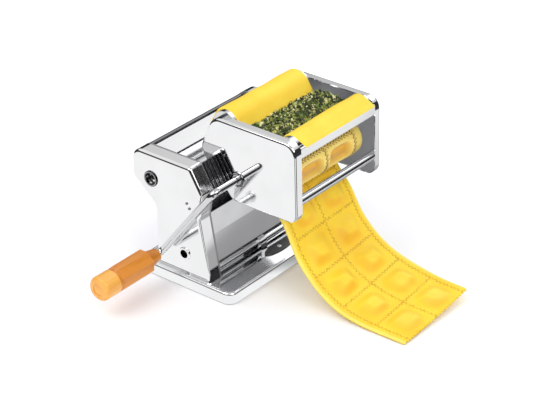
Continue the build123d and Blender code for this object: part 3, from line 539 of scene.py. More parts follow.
# ------------------------------------------------------------------ meshes
def grid_faces(rows: int, columns: int, wrap: bool = False) -> np.ndarray:
    """Quads of a grid of points.

    Args:
        rows: points along the first axis.
        columns: points along the second axis.
        wrap: whether the last column joins the first.

    Returns:
        Corner numbers, four per quad.
    """
    down = np.arange(rows - 1)[:, None] * columns
    across = np.arange(columns if wrap else columns - 1)[None, :]
    beside = (across + 1) % columns
    corners = [down + across, down + beside, down + columns + beside, down + columns + across]
    return np.stack([np.broadcast_to(c, (rows - 1, across.size)) for c in corners], -1).reshape(-1, 4)


def mesh_piece(
    name: str,
    points: np.ndarray,
    faces: Iterable[Sequence[int]],
    numbers: dict[str, np.ndarray] | None = None,
) -> bpy.types.Object:
    """Smooth-shaded mesh object whose faces point outwards.

    Args:
        name: the piece's name.
        points: corners in millimetres.
        faces: corner numbers of each face.
        numbers: values to store on the corners, by attribute name.

    Returns:
        The object, standing at the origin.
    """
    mesh = bpy.data.meshes.new(name)
    mesh.from_pydata((np.asarray(points) * MM).tolist(), [], [list(map(int, f)) for f in faces])
    for label, values in (numbers or {}).items():
        layer = mesh.attributes.new(label, "FLOAT", "POINT")
        layer.data.foreach_set("value", np.asarray(values, np.float32).ravel())
    work = bmesh.new()
    work.from_mesh(mesh)
    bmesh.ops.recalc_face_normals(work, faces=work.faces)
    work.to_mesh(mesh)
    work.free()
    mesh.shade_smooth()
    made = bpy.data.objects.new(name, mesh)
    bpy.context.scene.collection.objects.link(made)
    return made


def dress(made: bpy.types.Object, material: bpy.types.Material) -> None:
    """Gives an object one material."""
    made.data.materials.clear()
    made.data.materials.append(material)


def hand_over(
    made: bpy.types.Object, material: bpy.types.Material, body: str, nodes: Sequence[str]
) -> None:
    """Dresses a piece, lets it ride on its body and stand for its model nodes.

    Args:
        made: the piece.
        material: its finish.
        body: the body that it moves with.
        nodes: the model nodes that it stands for.
    """
    dress(made, material)
    keep_out_of_mirrors(made)
    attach(made, body)
    if nodes:
        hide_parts(*nodes)
    log.info("%s rides on %s, %d faces", made.name, body, len(made.data.polygons))


def keep_out_of_mirrors(made: bpy.types.Object) -> None:
    """Keeps a coloured piece out of the steel's reflections, which are neutral throughout."""
    made.visible_glossy = False


def closed_sheet(top: np.ndarray, under: np.ndarray) -> tuple[np.ndarray, np.ndarray]:
    """Closed body between two grids of points.

    Args:
        top: points of the upper face, rows by columns by three.
        under: points of the lower face, the same shape.

    Returns:
        Points and quads.
    """
    rows, columns = top.shape[:2]
    rings = np.concatenate([top, under[:, ::-1]], axis=1)
    sides = grid_faces(rows, 2 * columns, wrap=True)
    along = np.arange(columns - 1)
    start = np.stack([along, along + 1, 2 * columns - 2 - along, 2 * columns - 1 - along], -1)
    end = start[:, ::-1] + (rows - 1) * 2 * columns
    return rings.reshape(-1, 3), np.concatenate([sides, start, end])


def zigzag(along: np.ndarray, period: float) -> np.ndarray:
    """Triangle wave from -1 to 1."""
    return 4 * np.abs(np.mod(along / period, 1.0) - 0.5) - 1


def ease(values: np.ndarray, low: float, high: float) -> np.ndarray:
    """Smooth step from 0 at low to 1 at high."""
    share = np.clip((values - low) / (high - low), 0, 1)
    return share * share * (3 - 2 * share)


def lumps(points: np.ndarray, scale: float, seed: float) -> np.ndarray:
    """Smooth noise at points.

    Args:
        points: places in millimetres, the last axis of three.
        scale: features per millimetre.
        seed: offset that picks the pattern.

    Returns:
        Values around 0, one per point.
    """
    flat = points.reshape(-1, 3) * scale + seed
    values = [noise.noise(Vector(p)) for p in flat.tolist()]
    return np.array(values).reshape(points.shape[:-1])


@dataclass
class Route:
    """Path in the XZ plane, with its length, tangents and normals."""

    points: np.ndarray

    @classmethod
    def through(cls, knots: Sequence[Point], first: Point, last: Point, step: float = 0.5) -> "Route":
        """Smooth path through points.

        Args:
            knots: points X, Z in millimetres.
            first: direction at the start.
            last: direction at the end.
            step: distance between samples.

        Returns:
            The path.
        """
        places = np.array(knots, float)
        chords = np.linalg.norm(np.diff(places, axis=0), axis=1)
        marks = np.concatenate([[0], np.cumsum(chords)])
        slopes = np.gradient(places, marks, axis=0)
        slopes[0] = np.array(first) / np.hypot(*first)
        slopes[-1] = np.array(last) / np.hypot(*last)
        pieces = []
        for i, chord in enumerate(chords):
            t = np.linspace(0, 1, max(2, int(chord / step)), endpoint=i == len(chords) - 1)[:, None]
            start = (2 * t**3 - 3 * t**2 + 1) * places[i] + (t**3 - 2 * t**2 + t) * chord * slopes[i]
            end = (3 * t**2 - 2 * t**3) * places[i + 1] + (t**3 - t**2) * chord * slopes[i + 1]
            pieces.append(start + end)
        return cls(np.concatenate(pieces))

    def length(self) -> float:
        """Length in millimetres."""
        return float(np.linalg.norm(np.diff(self.points, axis=0), axis=1).sum())

    def even(self, step: float = 0.4, reach: int = 7) -> "Route":
        """The same path with even, gently smoothed samples.

        Args:
            step: distance between samples in millimetres.
            reach: samples on each side that are averaged.

        Returns:
            The new path, with the same ends.
        """
        steps = np.linalg.norm(np.diff(self.points, axis=0), axis=1)
        marks = np.concatenate([[0], np.cumsum(steps)])
        even = np.linspace(0, marks[-1], int(marks[-1] / step))
        places = np.stack([np.interp(even, marks, self.points[:, i]) for i in (0, 1)], -1)
        before = 2 * places[0] - places[reach:0:-1]
        after = 2 * places[-1] - places[-2 : -2 - reach : -1]
        padded = np.concatenate([before, places, after])
        window = np.ones(2 * reach + 1) / (2 * reach + 1)
        smooth = [np.convolve(padded[:, i], window, mode="valid") for i in (0, 1)]
        return Route(np.stack(smooth, -1))

    def at(self, distances: np.ndarray) -> tuple[np.ndarray, np.ndarray]:
        """Points and normals at distances along the path.

        Args:
            distances: distances in millimetres, any shape.

        Returns:
            Points X, Z and unit normals X, Z, to the left of the direction of travel.
        """
        steps = np.linalg.norm(np.diff(self.points, axis=0), axis=1)
        marks = np.concatenate([[0], np.cumsum(steps)])
        tangents = np.gradient(self.points, marks, axis=0)
        tangents /= np.linalg.norm(tangents, axis=1, keepdims=True)
        place = [np.interp(distances, marks, self.points[:, i]) for i in (0, 1)]
        slope = [np.interp(distances, marks, tangents[:, i]) for i in (0, 1)]
        return np.stack(place, -1), np.stack([-slope[1], slope[0]], -1)


def joint_place(frame: dict[str, Any], name: str) -> Point:
    """X and Z of a hinge's axis, in millimetres."""
    joint = next(j for j in frame["joints"] if j["name"] == name)
    return joint["pos_m"][0] / MM, joint["pos_m"][2] / MM


def node_span(name: str) -> tuple[np.ndarray, np.ndarray]:
    """Lowest and highest corner of a model node, in millimetres."""
    low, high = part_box(name)
    return np.array(low) / MM, np.array(high) / MM


# ------------------------------------------------------------------ mould rollers
@dataclass
class MouldRoller:
    """Roller with rows of pockets between zigzag cutting ridges."""

    name: str
    body: str
    node: str
    axis: Point
    ridge: float
    radius: float = 19.0
    land: float = 18.1
    bore: float = 5.45
    rows: int = 3
    pitch: float = 45.2
    middle: float = 5.0
    pocket_depth: float = 6.6
    pocket_around: float = 30.5
    pocket_across: float = 38.5
    end_round: float = 2.6
    teeth: int = 27
    tooth: float = 1.15
    blade: float = 0.55
    # near and far edge of the painted shadow band beside each blade
    blade_shadow: Point = (0.7, 1.6)
    around_steps: int = 297
    along_step: float = 0.5

    def _relief(self, angle: np.ndarray, y: np.ndarray) -> tuple[np.ndarray, np.ndarray, np.ndarray]:
        """Radius, painted blade shadow and pocket depth over the roller; the pocket depth also marks painted
        shade.

        Args:
            angle: angles from the first ridge, in radians.
            y: places along the roller.

        Returns:
            Radius in millimetres, and two numbers from 0 to 1: the painted shadow beside the blades, and the
            pocket depth, which also paints shade.
        """
        row_arc = 2 * math.pi * self.radius / self.rows
        period = 2 * math.pi * self.radius / self.teeth
        arc = angle * self.radius
        from_ridge = np.mod(arc + row_arc / 2, row_arc) - row_arc / 2
        from_cut = np.mod(y - self.middle + self.pitch / 2, self.pitch) - self.pitch / 2
        to_row = row_arc / 2 - np.abs(from_ridge)
        to_column = self.pitch / 2 - np.abs(from_cut)
        outside = np.abs(y - self.middle) > self.pitch + 0.5
        spread = (2 * to_row / self.pocket_around) ** 4 + (2 * to_column / self.pocket_across) ** 4
        # the pocket mask shapes the pockets and also paints shade in them
        hollow = 1 - ease(spread**0.25, 0.66, 1.0)
        hollow = np.where(outside, 0.0, hollow)
        ring = np.abs(from_cut - self.tooth * zigzag(arc, period))
        bar = np.abs(from_ridge - self.tooth * zigzag(y, period))
        bar = np.where(np.abs(y - self.middle) > self.pitch, FAR, bar)
        edge = np.minimum(ring, bar)
        blade = 1 - ease(edge, self.blade, self.blade + 0.6)
        # painted shadow: a dark band on the land beside each blade
        fade = 1 - ease(edge, self.blade + self.blade_shadow[0], self.blade + self.blade_shadow[1])
        seam = ease(edge, self.blade * 0.5, self.blade + 0.5) * fade
        radius = self.land + (self.radius - self.land) * blade - self.pocket_depth * hollow
        return radius, seam * (1 - hollow), hollow

    def build(self, finish: bpy.types.Material) -> None:
        """Makes the roller.

        Args:
            finish: material of the moulding.
        """
        low, high = node_span(self.node)
        count = int((high[1] - low[1]) / self.along_step)
        y = np.linspace(low[1], high[1], count)
        angle = np.linspace(0, 2 * math.pi, self.around_steps, endpoint=False)
        grid_y, grid_angle = np.meshgrid(y, angle, indexing="ij")
        radius, seam, hollow = self._relief(grid_angle, grid_y)
        inside = np.minimum(grid_y - low[1], high[1] - grid_y)
        bend = np.clip(self.end_round - inside, 0, self.end_round)
        radius = radius - (self.end_round - np.sqrt(self.end_round**2 - bend**2))
        flat = np.full((1, self.around_steps), 0.0)
        bore = flat + self.bore
        middle = (radius[:1] + self.bore) / 2
        radius = np.concatenate([bore, middle, radius, middle, bore])

        def padded(values: np.ndarray) -> np.ndarray:
            """Numbers of the relief, with zeros on the end faces."""
            return np.concatenate([flat, flat, values, flat, flat])

        seam, hollow = padded(seam), padded(hollow)
        grid_y = np.concatenate([grid_y[:1], grid_y[:1], grid_y, grid_y[-1:], grid_y[-1:]])
        turn = np.concatenate([grid_angle[:2], grid_angle, grid_angle[:2]]) + math.radians(self.ridge)
        points = np.stack(
            [self.axis[0] + radius * np.cos(turn), grid_y, self.axis[1] + radius * np.sin(turn)], -1
        )
        rows = points.shape[0]
        faces = grid_faces(rows, self.around_steps, wrap=True)
        around = np.arange(self.around_steps)
        beside = (around + 1) % self.around_steps
        last = (rows - 1) * self.around_steps
        tube = np.stack([last + around, last + beside, beside, around], -1)
        made = mesh_piece(
            self.name, points.reshape(-1, 3), np.concatenate([faces, tube]), {"seam": seam, "hollow": hollow}
        )
        hand_over(made, finish, self.body, [self.node])


# ------------------------------------------------------------------ ravioli strip
@dataclass
class RavioliStrip:
    """Strip of ravioli, two pillows wide, that runs from the mould rollers to the table."""

    nip: Point
    tilt: float
    start: float = 9.6
    route: tuple[Point, ...] = (
        (9.0, 99.0),
        (24.0, 81.0),
        (45.0, 48.0),
        (72.0, 24.5),
        (118.0, 7.2),
        (167.5, 2.4),
    )
    middle: float = 5.0
    width: float = 105.0
    pitch: float = 45.2
    row: float = 39.2
    trim: float = 1.8
    half: float = 1.45
    pillow: float = 4.6
    pillow_long: float = 15.5
    pillow_wide: float = 17.5
    plateau: float = 0.3
    groove: float = 0.55
    tooth: float = 1.2
    period: float = 4.2
    layer: float = 2.6
    lift: float = 9.0
    sag: float = 6.5
    step: float = 0.74

    def build(self, finish: bpy.types.Material) -> None:
        """Makes the strip.

        Args:
            finish: material of the dough.
        """
        down = (math.sin(self.tilt), -math.cos(self.tilt))
        first = (self.nip[0] + self.start * down[0], self.nip[1] + self.start * down[1])
        knots = [first] + [(self.nip[0] + x, z) for x, z in self.route]
        path = Route.through(knots, down, (1.0, 0.0))
        length = path.length()
        distance = np.linspace(0, length, int(length / self.step))
        across = np.linspace(-self.width / 2, self.width / 2, int(self.width / self.step))
        s, t = np.meshgrid(distance, across, indexing="ij")
        pinked = self.tooth * zigzag(t, self.period) * ease(s, length - 2 * self.period, length)
        top, under, seam, hollow, crown = self._relief(s, t, length)
        place, normal = path.at(np.clip(s + pinked - self.tooth * 0.5, 0, length))
        sway = 0.9 * np.sin(s / 31.0) * ease(s, 20, 90)
        raised = self.lift * ((t / self.width + 0.5) ** 1.5) * ease(s, 0.25 * length, 0.85 * length)
        halfway = ease(s, 0.12 * length, 0.4 * length) * (1 - ease(s, 0.6 * length, 0.95 * length))
        raised = raised - self.sag * (0.5 - t / self.width) * halfway
        y = self.middle + t + sway

        def face(height: np.ndarray) -> np.ndarray:
            """Points at a height off the path."""
            x = place[..., 0] + normal[..., 0] * height
            z = place[..., 1] + normal[..., 1] * height + raised
            return np.stack([x, y, np.maximum(z, 0.35)], -1)

        points, faces = closed_sheet(face(top), face(-under))
        numbers = {}
        for label, values in {"seam": seam, "hollow": hollow, "crown": crown}.items():
            numbers[label] = np.concatenate([values, 0 * values], axis=1)
        made = mesh_piece("ravioli_strip_dough", points, faces, numbers)
        hand_over(made, finish, "machine", ["ravioli_strip"])

    def _relief(self, s: np.ndarray, t: np.ndarray, length: float) -> tuple[np.ndarray, ...]:
        """Heights and colour numbers over the strip.

        Args:
            s: distances along the strip.
            t: distances from its middle.
            length: the strip's length.

        Returns:
            Height of the upper face, depth of the lower one, and three numbers from 0 to 1: the cut lines,
            the painted shade on the pillows' flanks and rims, and the painted highlight on their tops
            together with the paler single-layer margin.
        """
        from_row = np.mod(s - length - self.trim + self.row / 2, self.row) - self.row / 2
        from_cut = np.mod(t + self.pitch / 2, self.pitch) - self.pitch / 2
        to_row = (self.row / 2 - np.abs(from_row)) / self.pillow_long
        to_cut = (self.pitch / 2 - np.abs(from_cut)) / self.pillow_wide
        inside = np.abs(t) < self.pitch
        places = np.stack([s, t, 0 * s], -1)
        lump = lumps(places, 0.055, 3.7)
        spread = (np.abs(to_row) ** 3.4 + np.abs(to_cut) ** 3.4) ** (1 / 3.4) + 0.05 * lump
        dome = np.where(inside, 1 - ease(spread, self.plateau, 1.0), 0.0)
        rim = np.where(inside, np.exp(-(((spread - 1.02) / 0.16) ** 2)), 0.0)
        pillow = self.pillow * dome * (1 + 0.5 * lump) * ease(s, 6, 30)
        line = np.abs(from_cut - self.tooth * zigzag(s, self.period))
        bar = np.abs(from_row - self.tooth * zigzag(t, self.period))
        bar = np.where(inside & (s < length - 5), bar, FAR)
        edge = np.minimum(line, bar)
        cut = 1 - ease(edge, 0.25, 0.95)
        inner = self.width / 2 - self.layer
        margin = ease(np.abs(t), inner, inner + 0.8)
        step_down = self.half * 0.75 * margin
        top = self.half + pillow - 0.4 * rim - self.groove * cut - step_down + 0.25 * lump
        under = self.half + 0.25 * pillow - 0.3 * cut
        # painted shade on the pillows' flanks that face down the strip and towards the near edge, with a
        # little more in the rims
        slope = 0.8 * np.gradient(pillow, axis=1) - np.gradient(pillow, axis=0)
        shade = np.clip(1.3 * slope / (np.abs(slope).max() + 1e-9), 0, 1)
        seam = cut * np.clip(0.75 + 0.9 * lumps(places, 0.35, 8.1), 0.2, 1)
        # painted highlight on the pillow tops, growing towards the strip's end, and the paler single-layer
        # margin
        pale = np.maximum(0.2 * dome * ease(s, 0.4 * length, length), margin * 0.8)
        return top, under, seam, np.clip(0.12 * rim + shade, 0, 1), pale


# ------------------------------------------------------------------ dough sheets and filling
@dataclass
class DrapedDough:
    """Sheet of dough that runs up from the rollers and over a round bar."""

    name: str
    node: str
    bar: str
    start: Point
    side: int
    end: Point | None = None
    leave: float = 0.0
    tail: float = 15.0
    half: float = 0.9
    gap: float = 0.3
    width: float = 110.0
    middle: float = 5.0
    swell: float = 0.9
    step: float = 1.2

    def path(self) -> Route:
        """Middle line of the sheet, from the rollers to its free end."""
        low, high = node_span(self.bar)
        centre = np.array([(low[0] + high[0]) / 2, (low[2] + high[2]) / 2])
        wrap = (high[0] - low[0]) / 2 + self.gap + self.half

        def touch(point: Point, side: int) -> float:
            """Angle where the line from a point touches the wrapped circle."""
            reach = np.array(point) - centre
            return math.atan2(reach[1], reach[0]) + side * math.acos(wrap / np.hypot(*reach))

        first = touch(self.start, self.side) % (2 * math.pi)
        last = touch(self.end, -self.side) if self.end else math.radians(self.leave)
        angles = np.linspace(first, last, 60)[:, None]
        arc = centre + wrap * np.concatenate([np.cos(angles), np.sin(angles)], axis=1)
        tangent = (last - first) / abs(last - first) * np.array([-math.sin(last), math.cos(last)])
        free = np.array(self.end) if self.end else arc[-1] + self.tail * tangent
        up = np.linspace(self.start, arc[0], 60)[:-1]
        off = np.linspace(arc[-1], free, 24)[1:]
        return Route(np.concatenate([up, arc, off])).even()

    def build(self, finish: bpy.types.Material) -> Route:
        """Makes the sheet.

        Args:
            finish: material of the dough.

        Returns:
            Its middle line.
        """
        path = self.path()
        length = path.length()
        distance = np.linspace(0, length, int(length / self.step))
        across = np.linspace(-self.width / 2, self.width / 2, int(self.width / self.step))
        s, t = np.meshgrid(distance, across, indexing="ij")
        place, normal = path.at(s)
        outwards = -self.side
        flow = lumps(np.stack([s, t, 0 * s], -1), 0.035, 1.3 + self.side)
        rounded = np.minimum(np.minimum(s, length - s), self.width / 2 - np.abs(t))
        edge = 1 - np.sqrt(1 - (1 - np.clip(rounded / 1.6, 0, 1)) ** 2)
        fade = ease(length - s, 0, 12)
        outer = self.half * (1 - edge) + (self.swell * (0.5 + flow)) * fade * (1 - edge)
        inner = self.half * (1 - edge)
        y = self.middle + t + 0.7 * np.sin(s / 17.0) * np.sign(t) * ease(np.abs(t), 30, 55)

        def face(height: np.ndarray) -> np.ndarray:
            """Points at a height off the path."""
            shift = normal * height[..., None]
            return np.stack([place[..., 0] + shift[..., 0], y, place[..., 1] + shift[..., 1]], -1)

        first, second = (outer, inner) if outwards > 0 else (inner, outer)
        points, faces = closed_sheet(face(first), face(-second))
        made = mesh_piece(self.name, points, faces)
        hand_over(made, finish, "attachment", [self.node])
        log.info("%s is %.0f by %.0f mm flat", self.name, length, self.width)
        return path


@dataclass
class Filling:
    """Heap of chopped herbs and cheese between the two dough sheets."""

    node: str = "filling"
    dome: float = 3.4
    bump: float = 2.2
    step: float = 1.1
    leaves: float = 300_000.0
    crumbs: float = 110_000.0

    def build(self, finish: bpy.types.Material) -> None:
        """Makes the heap and the flakes on it.

        Args:
            finish: material of the flakes.
        """
        low, high = node_span(self.node)
        count_x = int((high[0] - low[0]) / self.step)
        count_y = int((high[1] - low[1]) / self.step)
        u, v = np.meshgrid(np.linspace(0, 1, count_x), np.linspace(0, 1, count_y), indexing="ij")
        x = low[0] + 0.8 + (high[0] - low[0] - 1.6) * u
        y = low[1] + (high[1] - low[1]) * v
        places = np.stack([x, y, 0 * x], -1)
        mound = self.dome * (1 - (2 * u - 1) ** 2) * (0.55 + 0.45 * ease(v, 0.0, 0.7))
        z = high[2] - 3.2 + mound + self.bump * (lumps(places, 0.16, 5.0) + lumps(places, 0.42, 9.0))
        top = np.stack([x, y, z], -1)
        narrow = (x - (low[0] + high[0]) / 2) * 0.25 + (low[0] + high[0]) / 2 - 1.0
        under = np.stack([narrow, y, np.full_like(z, low[2])], -1)
        points, faces = closed_sheet(top, under)
        # the heap takes the near-black first colour of the herbs: painted shade in the gaps between the
        # flakes
        heap = mesh_piece("herb_filling", points, faces, {"kind": np.full(len(points), 0.1)})
        self._scatter(heap, finish)
        hand_over(heap, finish, "attachment", [self.node])

    def _scatter(self, heap: bpy.types.Object, finish: bpy.types.Material) -> None:
        """Scatters flakes over the heap's upper face and makes the result a plain mesh.

        Args:
            heap: the heap.
            finish: material of the flakes.
        """
        tree = bpy.data.node_groups.new("herb_flakes", "GeometryNodeTree")
        face = tree.interface
        face.new_socket("Geometry", in_out="INPUT", socket_type="NodeSocketGeometry")
        for label in ("Leaves", "Crumbs"):
            face.new_socket(label, in_out="INPUT", socket_type="NodeSocketFloat")
        face.new_socket("Geometry", in_out="OUTPUT", socket_type="NodeSocketGeometry")
        graph = FlakeGraph(tree)
        source = tree.nodes.new("NodeGroupInput")
        leaves = graph.flakes(source, "Leaves", 11, (0.0036, 0.0014, 0.00035), (0.6, 1.4), (0.0, 1.0))
        crumbs = graph.flakes(source, "Crumbs", 29, (0.0013, 0.0010, 0.0005), (0.6, 1.5), (0.55, 1.0))
        join = tree.nodes.new("GeometryNodeJoinGeometry")
        for part in (source.outputs["Geometry"], leaves, crumbs):
            tree.links.new(part, join.inputs["Geometry"])
        real = graph.add("GeometryNodeRealizeInstances", inputs={0: join.outputs["Geometry"]})
        paint = graph.add("GeometryNodeSetMaterial", inputs={"Geometry": real.outputs[0], "Material": finish})
        sink = tree.nodes.new("NodeGroupOutput")
        tree.links.new(paint.outputs["Geometry"], sink.inputs["Geometry"])
        amounts = {"Leaves": self.leaves, "Crumbs": self.crumbs}
        plain_from_nodes(heap, tree, amounts)


class FlakeGraph:
    """Builds the nodes that scatter flakes over a mesh."""

    def __init__(self, tree: bpy.types.NodeTree) -> None:
        self.tree = tree

    def add(
        self, kind: str, settings: dict[str, Any] | None = None, inputs: dict[Any, Any] | None = None
    ) -> Any:
        """Adds a node, with its settings first and then its values or links."""
        made = self.tree.nodes.new(kind)
        for name, value in (settings or {}).items():
            setattr(made, name, value)
        for name, value in (inputs or {}).items():
            if isinstance(value, bpy.types.NodeSocket):
                self.tree.links.new(value, made.inputs[name])
            else:
                made.inputs[name].default_value = value
        return made

    def random(self, kind: str, low: Any, high: Any, seed: int) -> bpy.types.NodeSocket:
        """Random value between low and high."""
        numbers = {"FLOAT": (2, 3, 1), "FLOAT_VECTOR": (0, 1, 0)}[kind]
        inputs = {numbers[0]: low, numbers[1]: high, "Seed": seed}
        return self.add("FunctionNodeRandomValue", {"data_type": kind}, inputs).outputs[numbers[2]]

    def flakes(
        self,
        source: Any,
        amount: str,
        seed: int,
        size: tuple[float, float, float],
        sizes: Point,
        kinds: Point,
    ) -> bpy.types.NodeSocket:
        """One kind of flake, scattered over the faces that look up.

        Args:
            source: the group's input node.
            amount: name of the input that holds how many lie on a square metre.
            seed: seed of every random choice.
            size: half length, width and thickness of a flake, in metres.
            sizes: smallest and largest scale.
            kinds: lowest and highest stored kind.

        Returns:
            The realised flakes.
        """
        normal = self.add("GeometryNodeInputNormal").outputs[0]
        split = self.add("ShaderNodeSeparateXYZ", inputs={0: normal})
        up = self.add("FunctionNodeCompare", {"operation": "GREATER_THAN"}, {0: split.outputs["Z"], 1: 0.45})
        inputs = {"Mesh": source.outputs["Geometry"], "Selection": up.outputs[0], "Seed": seed}
        inputs["Density"] = source.outputs[amount]
        points = self.add("GeometryNodeDistributePointsOnFaces", inputs=inputs)
        ball = self.add("GeometryNodeMeshIcoSphere", inputs={"Radius": 1.0, "Subdivisions": 1})
        shape = self.add(
            "GeometryNodeTransform", inputs={"Geometry": ball.outputs[0], "Scale": size}
        )
        turn = self.random("FLOAT_VECTOR", (-1.3, -1.3, 0.0), (1.3, 1.3, 6.28), seed + 1)
        scale = self.random("FLOAT", sizes[0], sizes[1], seed + 2)
        inputs = {"Points": points.outputs["Points"], "Instance": shape.outputs[0]}
        inputs.update({"Rotation": turn, "Scale": scale})
        placed = self.add("GeometryNodeInstanceOnPoints", inputs=inputs)
        kind = self.random("FLOAT", kinds[0], kinds[1], seed + 3)
        inputs = {"Geometry": placed.outputs[0], "Name": "kind", "Value": kind}
        named = self.add("GeometryNodeStoreNamedAttribute", {"domain": "INSTANCE"}, inputs)
        real = self.add("GeometryNodeRealizeInstances", inputs={0: named.outputs[0]})
        ripple = self.add("ShaderNodeTexNoise", inputs={"Scale": 700.0, "Detail": 1.0})
        inputs = {0: ripple.outputs[1], 1: (0.5, 0.5, 0.5)}
        centred = self.add("ShaderNodeVectorMath", {"operation": "SUBTRACT"}, inputs)
        inputs = {0: centred.outputs[0], "Scale": 0.0034}
        shift = self.add("ShaderNodeVectorMath", {"operation": "SCALE"}, inputs)
        inputs = {"Geometry": real.outputs[0], "Offset": shift.outputs[0]}
        return self.add("GeometryNodeSetPosition", inputs=inputs).outputs[0]


def plain_from_nodes(made: bpy.types.Object, tree: bpy.types.NodeTree, amounts: dict[str, float]) -> None:
    """Runs a node tree on an object and keeps the result as its plain mesh.

    Args:
        made: the object.
        tree: the tree.
        amounts: values of the tree's named inputs.
    """
    modifier = made.modifiers.new(tree.name, "NODES")
    modifier.node_group = tree
    for item in tree.interface.items_tree:
        if item.item_type == "SOCKET" and item.name in amounts:
            modifier[item.identifier] = amounts[item.name]
    graph = bpy.context.evaluated_depsgraph_get()
    mesh = bpy.data.meshes.new_from_object(made.evaluated_get(graph), depsgraph=graph)
    made.modifiers.clear()
    made.data = mesh


# ------------------------------------------------------------------ dressed model nodes
def dress_all(
    title: str,
    plan: dict[str, tuple[str, ...]],
    nodes: dict[str, bpy.types.Object],
    finishes: dict[str, bpy.types.Material],
) -> None:
    """Gives each node of a sub-assembly its finish.

    Args:
        title: what the sub-assembly is called in the log.
        plan: names of the nodes of each finish.
        nodes: the model's nodes.
        finishes: materials by name.
    """
    for finish, names in plan.items():
        for name in names:
            dress(nodes[name], finishes[finish])
    log.info("%s dressed, %d nodes", title, sum(len(names) for names in plan.values()))


@dataclass
class Machine:
    """Base, covers, frames, smooth rollers and thickness knob, which keep their model shapes."""

    mirror: tuple[str, ...] = (
        "base_tray",
        "near_side_cover",
        "far_side_cover",
        "lower_hole_grommet",
        "clamp_saddle",
    )
    panels: tuple[str, ...] = ("front_sheet", "rear_sheet")
    plates: tuple[str, ...] = ("near_inner_frame", "far_inner_frame")
    bars: tuple[str, ...] = ("front_tie_rod", "rear_tie_rods", "tie_rod_nuts", "base_screws")
    turned: tuple[str, ...] = (
        "rear_smooth_roller",
        "front_smooth_roller",
        "rear_smooth_gear",
        "front_smooth_gear",
        "knob_shaft",
    )
    moulded: tuple[str, ...] = ("base_floor", "roller_scrapers", "bearing_blocks")
    dark: tuple[str, ...] = ("clamp_plate", "thickness_knob")

    def dress(self, nodes: dict[str, bpy.types.Object], finishes: dict[str, bpy.types.Material]) -> None:
        """Gives each node its finish.

        Args:
            nodes: the model's nodes.
            finishes: materials by name.
        """
        plan = {
            "mirror_steel": self.mirror,
            "panel_steel": self.panels,
            "plate_steel": self.plates,
            "bar_steel": self.bars,
            "roller_steel": self.turned,
            "grey_moulding": self.moulded,
            "black_moulding": self.dark,
            "brass_bush": ("roller_bushes",),
            "lipped_guide": ("dough_guide",),
            "hole_collar": ("crank_hole_ring",),
            "rivet_steel": ("cover_rivets",),
        }
        dress_all("machine", plan, nodes, finishes)


@dataclass
class Attachment:
    """Caps, plates, bars, rails and shafts, which keep their model shapes."""

    caps: tuple[str, ...] = ("near_cap", "far_cap", "upper_front_bar")
    plates: tuple[str, ...] = ("near_plate", "far_plate")
    bars: tuple[str, ...] = (
        "lower_front_rod",
        "lower_rear_rod",
        "rear_guide_bar",
        "front_guide_bar",
    )
    turned: tuple[str, ...] = (
        "rear_mould_shaft",
        "front_mould_shaft",
        "rear_mould_gear",
        "front_mould_gear",
    )
    bushes: tuple[str, ...] = ("mould_bushes",)

    def dress(self, nodes: dict[str, bpy.types.Object], finishes: dict[str, bpy.types.Material]) -> None:
        """Gives each node its finish.

        Args:
            nodes: the model's nodes.
            finishes: materials by name.
        """
        plan = {
            "mirror_steel": self.caps,
            "plate_steel": self.plates,
            "bar_steel": self.bars,
            "roller_steel": self.turned,
            "brass_bush": self.bushes,
            "ribbed_rail": ("near_rail", "far_rail"),
            "crank_collar": ("crank_bushing",),
            "rivet_steel": ("cap_rivets",),
        }
        dress_all("attachment", plan, nodes, finishes)


@dataclass
class Crank:
    """Bent steel rod with its faceted handle."""

    def dress(self, nodes: dict[str, bpy.types.Object], finishes: dict[str, bpy.types.Material]) -> None:
        """Gives each node its finish.

        Args:
            nodes: the model's nodes.
            finishes: materials by name.
        """
        plan = {
            "rod_steel": ("crank_rod",),
            "bar_steel": ("handle_retainer",),
            "orange_lacquer": ("handle_grip",),
            "amber_lacquer": ("handle_end_cap",),
        }
        dress_all("crank", plan, nodes, finishes)
        for name in ("handle_grip", "handle_end_cap"):
            keep_out_of_mirrors(nodes[name])


